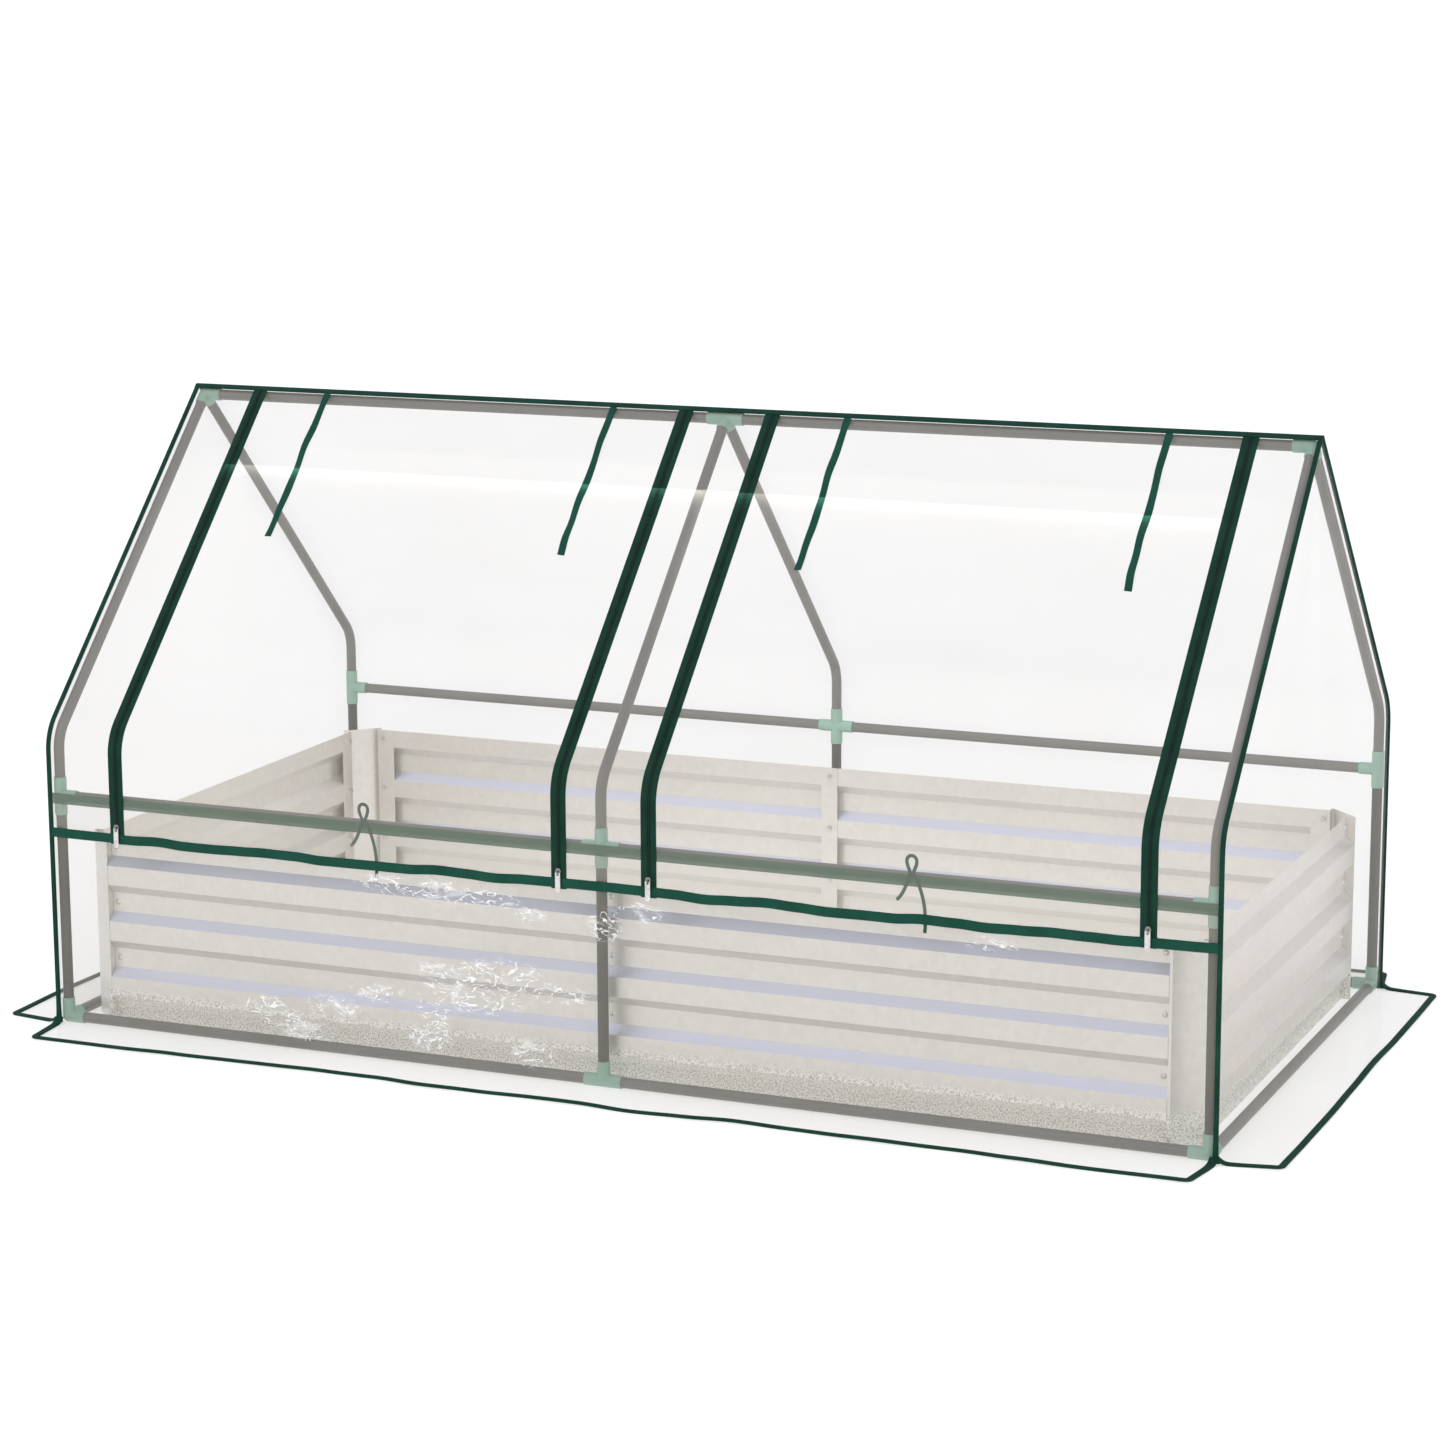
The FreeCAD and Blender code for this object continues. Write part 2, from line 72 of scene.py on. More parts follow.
FLOOR_HALF = 220.0
FLOOR_LOW, FLOOR_HIGH = (0.44, 0.44, 0.43), (0.48, 0.48, 0.465)
FLOOR_GLOW = 0.625
HORIZON, OVERHEAD = (0.98, 0.965, 0.945), (0.78, 0.79, 1.02)
SKY_TURNS = (0.70, 0.90)    # heights on the unit sky where its colour starts and ends changing
SUN_POWER, SUN_COLOUR = 0.35, (1.0, 0.985, 0.96)
SUN_WIDTH, SUN_TILT = 50, (38, -18)     # degrees
CARD_SIZE, CARD_HEIGHT, CARD_POWER = (1.6, 0.25), 0.82, 4.2
EYE = (2.2165, -5.2384, 1.6145)
AZIMUTH, ELEVATION, ROLL = 23.0055, 11.5923, -0.2469
LENS = 94.755


def aimed(azimuth, elevation, roll, eye):
    """Camera matrix: back is the sine and cosine of the two angles, right is level, and both turn by the roll."""
    a, e, t = (math.radians(v) for v in (azimuth, elevation, roll))
    back = np.array([math.sin(a) * math.cos(e), -math.cos(a) * math.cos(e), math.sin(e)])
    level = np.array([math.cos(a), math.sin(a), 0.0])
    up = np.cross(back, level)
    right = level * math.cos(t) + up * math.sin(t)
    turned = np.eye(4)
    turned[:3, 0], turned[:3, 1], turned[:3, 2], turned[:3, 3] = right, np.cross(back, right), back, eye
    return Matrix(turned)


def placed(name, data):
    """A new object in the scene, at the origin."""
    thing = bpy.data.objects.new(name, data)
    bpy.context.scene.collection.objects.link(thing)
    return thing


camera = placed("studio_camera", bpy.data.cameras.new("studio_camera"))
camera.data.lens = LENS
camera.data.clip_end = 1000
camera.matrix_world = aimed(AZIMUTH, ELEVATION, ROLL, EYE)
bpy.context.scene.camera = camera
bpy.context.scene.view_settings.view_transform = "Standard"

sun = placed("soft_sun", bpy.data.lights.new("soft_sun", "SUN"))
sun.data.energy = SUN_POWER
sun.data.angle = math.radians(SUN_WIDTH)
sun.data.color = SUN_COLOUR
sun.rotation_euler = (math.radians(SUN_TILT[0]), math.radians(SUN_TILT[1]), 0)

card = placed("bounce_card", bpy.data.lights.new("bounce_card", "AREA"))
card.data.shape = "RECTANGLE"
card.data.size, card.data.size_y = CARD_SIZE
card.data.energy = CARD_POWER
card.location = (0, 0, CARD_HEIGHT)
card.visible_camera = card.visible_glossy = False

sky = bpy.data.worlds.new("studio_sky")
bpy.context.scene.world = sky
sky.use_nodes = True
direction = sky.node_tree.nodes.new("ShaderNodeTexCoord")
split = sky.node_tree.nodes.new("ShaderNodeSeparateXYZ")
ramp = sky.node_tree.nodes.new("ShaderNodeValToRGB")
for stop, turn, colour in zip(ramp.color_ramp.elements, SKY_TURNS, (HORIZON, OVERHEAD)):
    stop.position, stop.color = turn, (*colour, 1)
sky.node_tree.links.new(direction.outputs["Generated"], split.inputs[0])
sky.node_tree.links.new(split.outputs["Z"], ramp.inputs[0])
sky.node_tree.links.new(ramp.outputs[0], sky.node_tree.nodes["Background"].inputs["Color"])


def clouded():
    """Node group: a slow cloud and a fine grain over Object coordinates, both from 0 to 1."""
    tree = bpy.data.node_groups.new("clouds_and_grain", "ShaderNodeTree")
    for name, default in (("Cloud Scale", 3.0), ("Grain Scale", 400.0)):
        tree.interface.new_socket(name, in_out="INPUT", socket_type="NodeSocketFloat").default_value = default
    for name in ("Cloud", "Grain"):
        tree.interface.new_socket(name, in_out="OUTPUT", socket_type="NodeSocketFloat")
    start, end = tree.nodes.new("NodeGroupInput"), tree.nodes.new("NodeGroupOutput")
    spot = tree.nodes.new("ShaderNodeTexCoord")
    for name, detail in (("Cloud", 3.0), ("Grain", 2.0)):
        noise = tree.nodes.new("ShaderNodeTexNoise")
        noise.inputs["Detail"].default_value = detail
        tree.links.new(spot.outputs["Object"], noise.inputs["Vector"])
        tree.links.new(start.outputs[name + " Scale"], noise.inputs["Scale"])
        tree.links.new(noise.outputs["Fac"], end.inputs[name])
    return tree


CLOUDS = clouded()


def finish(name, cloud_scale=3.0, grain_scale=400.0, **plain):
    """A Principled material with the cloud and grain group beside it. plain sets constant sockets."""
    material = bpy.data.materials.new(name)
    material.use_nodes = True
    tree = material.node_tree
    shader = tree.nodes["Principled BSDF"]
    for socket, value in plain.items():
        shader.inputs[socket.replace("_", " ").title().replace("Ior", "IOR")].default_value = value
    clouds = tree.nodes.new("ShaderNodeGroup")
    clouds.node_tree = CLOUDS
    clouds.inputs["Cloud Scale"].default_value = cloud_scale
    clouds.inputs["Grain Scale"].default_value = grain_scale
    return material, tree, shader, clouds


def between(tree, factor, low, high, span=(0.3, 0.7)):
    """Output that goes from low to high, two numbers or two colours, as factor crosses span."""
    if isinstance(low, tuple):
        node = tree.nodes.new("ShaderNodeValToRGB")
        for stop, position, colour in zip(node.color_ramp.elements, span, (low, high)):
            stop.position, stop.color = position, (*colour, 1)
        tree.links.new(factor, node.inputs[0])
        return node.outputs[0]
    node = tree.nodes.new("ShaderNodeMapRange")
    for socket, value in zip(("From Min", "From Max", "To Min", "To Max"), (*span, low, high)):
        node.inputs[socket].default_value = value
    tree.links.new(factor, node.inputs["Value"])
    return node.outputs["Result"]


paper, tree, shader, clouds = finish("pale_floor_paint", 0.8, 60.0, roughness=0.85, emission_color=(1, 1, 1, 1),
                                     emission_strength=FLOOR_GLOW)
tree.links.new(between(tree, clouds.outputs["Cloud"], FLOOR_LOW, FLOOR_HIGH), shader.inputs["Base Color"])
floor_mesh = bpy.data.meshes.new("studio_floor")
floor_corners = np.array([[-1, -1, 0], [1, -1, 0], [1, 1, 0], [-1, 1, 0]], float) * FLOOR_HALF
floor_mesh.from_pydata(floor_corners.tolist(), [], [(0, 1, 2, 3)])
floor_mesh.materials.append(paper)
placed("studio_floor", floor_mesh)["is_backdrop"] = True


# ---- tube frame ----
# Sixteen millimetre steel tubes, bent at the knees of the hoops, with a thin
# grey powder coat; the six posts are coloured darker. The CAD shape is the real
# one, so only the finish is added.

TUBE_DARK, TUBE_LIGHT = (0.152, 0.146, 0.133), (0.185, 0.179, 0.164)
POST_DARK, POST_LIGHT = (0.062, 0.058, 0.050), (0.084, 0.079, 0.069)
TUBE_NODES = [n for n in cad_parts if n.startswith(("hoop_tube", "base_rail", "mid_rail", "ridge_rail"))]


def mottled(name, scales, low, high, roughness, **plain):
    """A finish whose colour goes from low to high over the cloud, and whose roughness follows the grain."""
    material, tree, shader, clouds = finish(name, *scales, **plain)
    tree.links.new(between(tree, clouds.outputs["Cloud"], low, high), shader.inputs["Base Color"])
    tree.links.new(between(tree, clouds.outputs["Grain"], *roughness), shader.inputs["Roughness"])
    return material, tree, shader, clouds


def bumped(tree, shader, height, depth, strength):
    """Bump from a height output, depth in metres."""
    bump = tree.nodes.new("ShaderNodeBump")
    bump.inputs["Strength"].default_value = strength
    bump.inputs["Distance"].default_value = depth
    tree.links.new(height, bump.inputs["Height"])
    tree.links.new(bump.outputs["Normal"], shader.inputs["Normal"])


def dress(names, material):
    """Gives CAD nodes a material."""
    for name in names:
        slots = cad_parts[name].data.materials
        slots.clear()
        slots.append(material)


for name, dark, light, nodes in (("grey_powder_coat", TUBE_DARK, TUBE_LIGHT, TUBE_NODES),
                                 ("darker_post_colour", POST_DARK, POST_LIGHT, ["lower_posts"])):
    powder_coat, tree, shader, clouds = mottled(name, (9.0, 900.0), dark, light, (0.36, 0.5), metallic=0.25)
    bumped(tree, shader, clouds.outputs["Grain"], 0.00012, 0.5)
    dress(nodes, powder_coat)


# ---- socket fittings ----
# Injection moulded fittings in pale mint polypropylene, pushed onto the tubes.
# The plastic is a little cloudy, with the fine grain of a spark-eroded mould.

MINT_DEEP, MINT_PALE = (0.235, 0.405, 0.320), (0.285, 0.455, 0.365)

mint, tree, shader, clouds = mottled("mint_moulded_plastic", (22.0, 1400.0), MINT_DEEP, MINT_PALE, (0.42, 0.6))
bumped(tree, shader, clouds.outputs["Grain"], 0.0001, 0.5)
dress([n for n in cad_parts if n.endswith(("connectors", "connector"))], mint)


# ---- raised bed ----
# Roll formed panels, corner posts and joint strips in hot dipped zinc with a
# clear coat. Zinc shows faint crystals. The lilac on the upward slopes is a painted
# reflection of the sky, and the foot has real dust and splash speckle on a pale band of painted light.

ZINC_WARM, ZINC_PALE = (0.745, 0.718, 0.675), (0.805, 0.778, 0.735)
# Lilac painted onto upward slopes as a reflection of the sky overhead.
SKY_REFLECTION_LILAC = (0.62, 0.64, 0.73)
FOOT_BAND_FULL, FOOT_BAND_TOP = 0.045, 0.060      # heights where the foot band of real speckle and painted light is fullest and where it ends
CRYSTALS = 110.0            # zinc crystals a metre
BOLT_DULL, BOLT_BRIGHT = (0.58, 0.58, 0.58), (0.80, 0.80, 0.80)
# The dark speckle is real; the pale colour under it is painted light.
SPECK_DARK, PAINTED_LIGHT_PALE = (0.50, 0.48, 0.44), (1.00, 0.98, 0.93)


def arithmetic(tree, operation, a, b):
    """Output of one Math node. a and b are outputs or numbers."""
    node = tree.nodes.new("ShaderNodeMath")
    node.operation = operation
    for socket, value in zip(node.inputs, (a, b)):
        if isinstance(value, (int, float)):
            socket.default_value = value
        else:
            tree.links.new(value, socket)
    return node.outputs[0]


def mixed(tree, factor, a, b):
    """Output that goes from colour a to colour b with factor. Each colour is an output or three numbers."""
    node = tree.nodes.new("ShaderNodeMix")
    node.data_type = "RGBA"
    tree.links.new(factor, node.inputs["Factor"])
    for socket, value in (("A", a), ("B", b)):
        if isinstance(value, tuple):
            node.inputs[socket].default_value = (*value, 1)
        else:
            tree.links.new(value, node.inputs[socket])
    return node.outputs["Result"]


def zinc_sheet(name, sky_reflection_share):
    """Zinc with crystals; a foot of real speckle on a pale band of painted light; and on its upward slopes, the given
    share of a lilac painted reflection of the sky.
    """
    zinc, tree, shader, clouds = finish(name, 5.0, 430.0)
    spot = tree.nodes.new("ShaderNodeTexCoord")
    crystal = tree.nodes.new("ShaderNodeTexVoronoi")
    crystal.inputs["Scale"].default_value = CRYSTALS
    tree.links.new(spot.outputs["Object"], crystal.inputs["Vector"])
    facet = tree.nodes.new("ShaderNodeSeparateColor")
    tree.links.new(crystal.outputs["Color"], facet.inputs[0])
    tone = arithmetic(tree, "ADD", arithmetic(tree, "MULTIPLY", facet.outputs[0], 0.35),
                      arithmetic(tree, "MULTIPLY", clouds.outputs["Cloud"], 0.65))
    plain = between(tree, tone, ZINC_WARM, ZINC_PALE, (0.25, 0.75))
    facing_up, height = (tree.nodes.new("ShaderNodeSeparateXYZ") for _ in range(2))
    tree.links.new(spot.outputs["Normal"], facing_up.inputs[0])
    tree.links.new(spot.outputs["Object"], height.inputs[0])
    # Painted reflection: slopes that face up are tinted lilac, as the sky overhead would show in them.
    sky_reflection_mix = between(tree, facing_up.outputs["Z"], 0.0, sky_reflection_share, (0.35, 0.60))
    # Painted light: a pale band up the foot brightens the shade of the base rail, with real dark speckle on it.
    low_down = between(tree, height.outputs["Z"], 0.9, 0.0, (FOOT_BAND_FULL, FOOT_BAND_TOP))
    speckle_on_painted_light = between(tree, clouds.outputs["Grain"], SPECK_DARK, PAINTED_LIGHT_PALE, (0.40, 0.54))
    tree.links.new(mixed(tree, low_down, mixed(tree, sky_reflection_mix, plain, SKY_REFLECTION_LILAC), speckle_on_painted_light), shader.inputs["Base Color"])
    tree.links.new(between(tree, low_down, 0.65, 0.10, (0.0, 1.0)), shader.inputs["Metallic"])
    tree.links.new(between(tree, facet.outputs[1], 0.34, 0.42, (0.0, 1.0)), shader.inputs["Roughness"])
    bumped(tree, shader, clouds.outputs["Cloud"], 0.0004, 0.3)
    return zinc


# The end panels take only a little of the painted sky reflection on their slopes.
END_PANELS = ["bed_panel_left", "bed_panel_right"]
dress(END_PANELS, zinc_sheet("coated_zinc_end_sheet", 0.12))
dress([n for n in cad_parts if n.startswith(("bed_panel", "bed_corner", "bed_joint")) and n not in END_PANELS],
      zinc_sheet("coated_zinc_sheet", 1.0))

# Bolts and nuts are bright zinc, a little dulled by handling.
dress(["bed_bolts", "bed_nuts"], mottled("bright_zinc_fasteners", (90.0, 1800.0), BOLT_DULL, BOLT_BRIGHT, (0.22, 0.38),
                                         metallic=1.0)[0])


# ---- clear cover ----
# Soft clear film, a fifth of a millimetre thick and slightly milky, stretched
# over the hoops. It is sewn from panels, and its foot lies out on the ground.

# The second colour and alpha are the painted highlights on the creases.
FILM_COLOUR, GLINT_COLOUR = (0.54, 0.525, 0.465), (0.98, 0.98, 0.97)
FILM_ALPHA, GLINT_ALPHA = (0.172, 0.198), 0.90
BEND = 0.060                # the hoops' own bend, on the tube's centre line
RIDGE_FOLD = 0.006          # radius of the film over the ridge
KNEE_ABOVE_RAIL = 0.094     # from the mid rail to the knee's corner
FOOT_RADIUS = 0.009         # where a panel turns from the wall to the ground
GROUND = 0.0007             # the film's height over the ground
HALF_FILM = 0.00025         # half the thickness of the CAD film
RAIL_CLEARANCE = 0.00225    # from the mid rail out to the lower front panel
WALL_STEPS, KNEE_STEPS, SLOPE_STEPS, CREST_STEPS = 70, 30, 90, 8
BLEND_MARGIN = 0.004        # a length past the knee's bend; the two points found with it are not used


def middle(node):
    """Middle of a CAD node's box."""
    low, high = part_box(node)
    return (np.array(low) + np.array(high)) / 2


SIDE = middle("base_rail_back_left")[1]
RIDGE = middle("ridge_rail_left")[2]
KNEE = middle("mid_rail_back_left")[2] + KNEE_ABOVE_RAIL
COVER_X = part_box("cover_gable_right")[1][0]
FILM_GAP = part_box("cover_back")[1][1] - SIDE - HALF_FILM
PANEL_GAP = -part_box("mid_rail_front_left")[0][1] - SIDE + RAIL_CLEARANCE
TURN = math.atan2(SIDE, RIDGE - KNEE)
S_KNEE = KNEE - BEND * math.tan(TURN / 2)
S_SLOPE = S_KNEE + (BEND + FILM_GAP) * TURN
ZIPS = [middle("slider_" + n)[0] for n in
        ("left_door_left", "left_door_right", "right_door_left", "right_door_right")]


def cover_line():
    """Film's section, front ground to ridge: a wall, a knee arc round the hoop's bend centre, a straight slope and
    a small ridge arc, then its mirror image. Gives y, z, the outward normal and the length along it."""
    arc = np.linspace(0, TURN, KNEE_STEPS)
    over = np.linspace(TURN, math.pi / 2, CREST_STEPS)
    crest = RIDGE + (FILM_GAP - RIDGE_FOLD) / math.sin(TURN)
    wall = np.stack([np.full(WALL_STEPS, -SIDE - FILM_GAP), np.linspace(0, S_KNEE, WALL_STEPS)], 1)
    knee = np.stack([-SIDE + BEND - (BEND + FILM_GAP) * np.cos(arc), S_KNEE + (BEND + FILM_GAP) * np.sin(arc)], 1)
    top = np.stack([-RIDGE_FOLD * np.cos(over), crest + RIDGE_FOLD * np.sin(over)], 1)
    share = np.linspace(0, 1, SLOPE_STEPS)[:, None]
    slope = knee[-1] * (1 - share) + top[0] * share
    front = np.concatenate([wall, knee[1:], slope[1:], top[1:]])
    turn = np.concatenate([np.zeros(WALL_STEPS), arc[1:], np.full(SLOPE_STEPS - 1, TURN), over[1:]])
    line = np.concatenate([front, front[-2::-1] * (-1, 1)])
    phi = np.concatenate([turn, math.pi - turn[-2::-1]])
    along = np.concatenate([[0], np.cumsum(np.linalg.norm(np.diff(line, axis=0), axis=1))])
    return line, np.stack([-np.cos(phi), np.sin(phi)], 1), along


LINE, OUTWARD, ALONG = cover_line()
S_RIDGE = ALONG[-1] / 2


def on_cover(x, s, lift):
    """Point at x and length s along the film's section, moved out along its normal by lift."""
    y, z = (np.interp(s, ALONG, LINE[:, k]) for k in (0, 1))
    ny, nz = (np.interp(s, ALONG, OUTWARD[:, k]) for k in (0, 1))
    return np.stack(np.broadcast_arrays(x, y + lift * ny, z + lift * nz), -1)


def outward(s):
    """The film's outward direction at each length s along its section."""
    return np.stack([0 * s, *(np.interp(s, ALONG, OUTWARD[:, k]) for k in (0, 1))], 1)


def grid_piece(name, points, material, body, crease=None, loop=False, caps=False):
    """A mesh from a grid of points, rows by columns, with UVs that run in metres along both ways. loop closes the
    columns into a tube, and caps closes its ends. crease is a value from 0 to 1 at each point."""
    rows, columns = points.shape[:2]
    across = columns if loop else columns - 1
    i, j = np.meshgrid(np.arange(rows - 1), np.arange(across), indexing="ij")
    k = (j + 1) % columns
    quads = np.stack([i * columns + j, i * columns + k, (i + 1) * columns + k, (i + 1) * columns + j], -1)
    faces = quads.reshape(-1, 4).tolist()
    if caps:
        faces += [list(range(columns))[::-1], list(range((rows - 1) * columns, rows * columns))]
    mesh = bpy.data.meshes.new(name)
    mesh.from_pydata(points.reshape(-1, 3).tolist(), [], faces)
    down = np.concatenate([np.zeros((1, columns)), np.cumsum(np.linalg.norm(np.diff(points, axis=0), axis=2), 0)])
    wide = np.concatenate([np.zeros((rows, 1)), np.cumsum(np.linalg.norm(np.diff(points, axis=1), axis=2), 1)], 1)
    flat = np.stack([wide, np.broadcast_to(down.mean(1, keepdims=True), wide.shape)], -1).reshape(-1, 2)
    corners = np.empty(len(mesh.loops), np.int32)
    mesh.loops.foreach_get("vertex_index", corners)
    mesh.uv_layers.new(name="UVMap").data.foreach_set("uv", flat[corners].astype(np.float32).ravel())
    if crease is not None:
        mesh.attributes.new("crease", "FLOAT", "POINT").data.foreach_set(
            "value", np.broadcast_to(crease, (rows, columns)).astype(np.float32).ravel())
    mesh.polygons.foreach_set("use_smooth", [True] * len(mesh.polygons))
    mesh.materials.append(material)
    mesh.update()
    piece = placed(name, mesh)
    if isinstance(body, str):
        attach(piece, body)
    else:
        start, end = (on_cover(0.0, s, 0.0) for s in (S_SLOPE + BLEND_MARGIN, S_KNEE - BLEND_MARGIN))
        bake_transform(piece)
    return piece


GLINT_NOISES = (            # scale, distortion, lean, stretch: two of lines, one that breaks them, one of patches
    (58.0, 1.2, 0.15, 0.40), (84.0, 0.8, -0.55, 0.45), (66.0, 0.0, 0.0, 1.0), (52.0, 0.8, 0.2, 0.50))


def painted_glints(tree, density):
    """Painted highlights on the film's creases: thin curly glint lines, from 0 to 1, where density is high. Each is the
    level line of a distorted noise, and another noise breaks it into short strokes. A coarse noise adds a few milky
    patches of painted highlight."""
    spot = tree.nodes.new("ShaderNodeTexCoord").outputs["Object"]
    noises = []
    for scale, distortion, lean, stretch in GLINT_NOISES:
        turned = tree.nodes.new("ShaderNodeMapping")
        turned.inputs["Rotation"].default_value = (0, lean, 0)
        turned.inputs["Scale"].default_value = (stretch, 1, 1)
        tree.links.new(spot, turned.inputs["Vector"])
        noise = tree.nodes.new("ShaderNodeTexNoise")
        for socket, value in (("Scale", scale), ("Detail", 1.5), ("Distortion", distortion)):
            noise.inputs[socket].default_value = value
        tree.links.new(turned.outputs["Vector"], noise.inputs["Vector"])
        noises.append(noise.outputs["Fac"])
    strokes = []
    for line, gate in ((noises[0], (0.44, 0.50)), (noises[1], (0.56, 0.50))):
        away = arithmetic(tree, "ABSOLUTE", arithmetic(tree, "SUBTRACT", line, 0.5), 0.0)
        thin = between(tree, away, 1.0, 0.0, (0.010, 0.030))
        strokes.append(arithmetic(tree, "MULTIPLY", thin, between(tree, noises[2], 0.0, 1.0, gate)))
    patch = between(tree, noises[3], 0.0, 0.42, (0.52, 0.66))
    marks = arithmetic(tree, "MAXIMUM", arithmetic(tree, "MAXIMUM", strokes[0], strokes[1]), patch)
    return arithmetic(tree, "MULTIPLY", marks, between(tree, density, 0.0, 1.0, (0.05, 0.34)))


# Painted highlights: along the creases the film turns white and nearly opaque in thin glint strokes and patches, over a
# real bump.
film, tree, shader, clouds = finish("clear_soft_film", 5.0, 30.0, specular_ior_level=0.6)
density = tree.nodes.new("ShaderNodeAttribute")
density.attribute_name = "crease"
painted_crease_glints = painted_glints(tree, density.outputs["Fac"])
milk = between(tree, clouds.outputs["Cloud"], *FILM_ALPHA)
alpha = arithmetic(tree, "MAXIMUM", milk, arithmetic(tree, "MULTIPLY", painted_crease_glints, GLINT_ALPHA))
tree.links.new(alpha, shader.inputs["Alpha"])
tree.links.new(between(tree, clouds.outputs["Grain"], 0.10, 0.20), shader.inputs["Roughness"])
tree.links.new(between(tree, painted_crease_glints, FILM_COLOUR, GLINT_COLOUR, (0.05, 0.4)), shader.inputs["Base Color"])
bumped(tree, shader, painted_crease_glints, 0.0005, 0.5)


def relaxed(x, s, x0, x1, s0, s1, height):
    """Outward slack of a panel: height times a half wave across and three slow waves along, nothing at the edges."""
    u, v = (x - x0) / (x1 - x0), (s - s0) / (s1 - s0)
    swell = np.sin(np.pi * u) ** 0.8 * np.sin(np.pi * np.clip(v, 0, 1)) ** 0.6
    ripple = 0.55 + 0.25 * np.sin(5.1 * np.pi * v + 2.3 * u) + 0.2 * np.sin(7.7 * np.pi * u + 4.0 * v)
    return height * swell * ripple


HEM_SWAY = 0.0013
HEM_FADE = 0.06             # how far up the film the hem's wave reaches
KNEE_GLINT, KNEE_GLINT_REACH = 0.11, 0.012
SEAM = 0.0005               # from a zip's middle to the edge of the film beside it


def hem_wave(x):
    """Outward wave of the door hem: nothing at each zip and at the gables, and less than twice the sway between."""
    edges = np.array([-COVER_X, *ZIPS, COVER_X])
    k = np.clip(np.searchsorted(edges, x) - 1, 0, 4)
    share = np.clip((x - edges[k]) / (edges[k + 1] - edges[k]), 0, 1)
    reach = np.minimum(1.0, (edges[k + 1] - edges[k]) / 0.5)
    return HEM_SWAY * reach * np.sin(np.pi * share) ** 0.5 * (1 + np.sin(x * 37.0 + 1.0) * 0.9)


def film_panel(name, x0, x1, s0, s1, height, body, columns, rows):
    """A cover panel between two x values and two lengths along the section, with its slack and its hem's wave."""
    s = np.linspace(s0, s1, rows)[:, None]
    x = np.linspace(x0, x1, columns)[None, :]
    lift = relaxed(x, s, x0, x1, s0, s1, height) + hem_wave(x) * np.exp(-np.abs(s - S_HEM) / HEM_FADE)
    # Painted highlights: a faint band of glints across the knee, in every other stretch along x.
    knee_glint = np.exp(-((s - (S_KNEE + S_SLOPE) / 2) / KNEE_GLINT_REACH) ** 2) * np.clip(np.sin(x * 47), 0, 1)
    return grid_piece(name, on_cover(x, s, lift), film, body, crease=KNEE_GLINT * knee_glint)


S_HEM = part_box("left_door_flap")[0][2]      # on the front wall, length along the section is height
FILM_FOOT = S_HEM + 0.004   # the film ends inside the hem tape
TOP_EDGE = S_RIDGE - 0.006  # and under the ridge tape
STRIP_SLACK, DOOR_SLACK, BACK_SLACK = 0.0006, 0.0022, 0.0025
strips = {"strip_left": (-COVER_X, ZIPS[0] - SEAM), "strip_middle": (ZIPS[1] + SEAM, ZIPS[2] - SEAM),
          "strip_right": (ZIPS[3] + SEAM, COVER_X)}
for place, (x0, x1) in strips.items():
    film_panel("film_" + place, x0, x1, FILM_FOOT, TOP_EDGE, STRIP_SLACK, "root", 13, 140)
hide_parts("cover_front_strips")
doors = {"left": (ZIPS[0] + SEAM, ZIPS[1] - SEAM), "right": (ZIPS[2] + SEAM, ZIPS[3] - SEAM)}
for side, (x0, x1) in doors.items():
    bodies = (side + "_door_roof", side + "_door_flap")
    film_panel("film_door_" + side, x0, x1, FILM_FOOT, TOP_EDGE, DOOR_SLACK, bodies, 61, 150)
    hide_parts(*bodies)


def wavy(values, positions):
    """Smooth curve through values spread evenly along positions: sine-eased steps between neighbours."""
    values = np.asarray(values, float)
    at = (positions - positions.min()) / (positions.max() - positions.min()) * (len(values) - 1)
    k = np.minimum(at.astype(int), len(values) - 2)
    ease = 0.5 - 0.5 * np.cos(np.pi * (at - k))
    return values[k] * (1 - ease) + values[k + 1] * ease


def flap_rows(wall_out, wall_z, out, low_edge, count=22):
    """Section of a panel's foot: the wall, a quarter arc of the foot radius, then along the ground to the edge.
    wall_out and wall_z are the wall's columns, out the edge's distance from the wall, low_edge its ripple."""
    angle = np.linspace(0, math.pi / 2, 7)[1:, None]
    arc_out = wall_out[-1:] + FOOT_RADIUS * (1 - np.cos(angle))
    arc_z = GROUND + FOOT_RADIUS * (1 - np.sin(angle)) + 0 * wall_out[-1:]
    share = np.linspace(0, 1, count)[1:, None]
    run_out = arc_out[-1:] + share * (out - FOOT_RADIUS)
    run_z = GROUND + low_edge * share ** 2
    return (np.concatenate([wall_out, arc_out, run_out]), np.concatenate([wall_z, arc_z, run_z]))


def drawn_in(out, share):
    """How a flap narrows on its way out: 1 up to its foot, then less in proportion, by share at its edge."""
    return 1 - share * np.clip((out - 0.012) / FLAP, 0, 1)
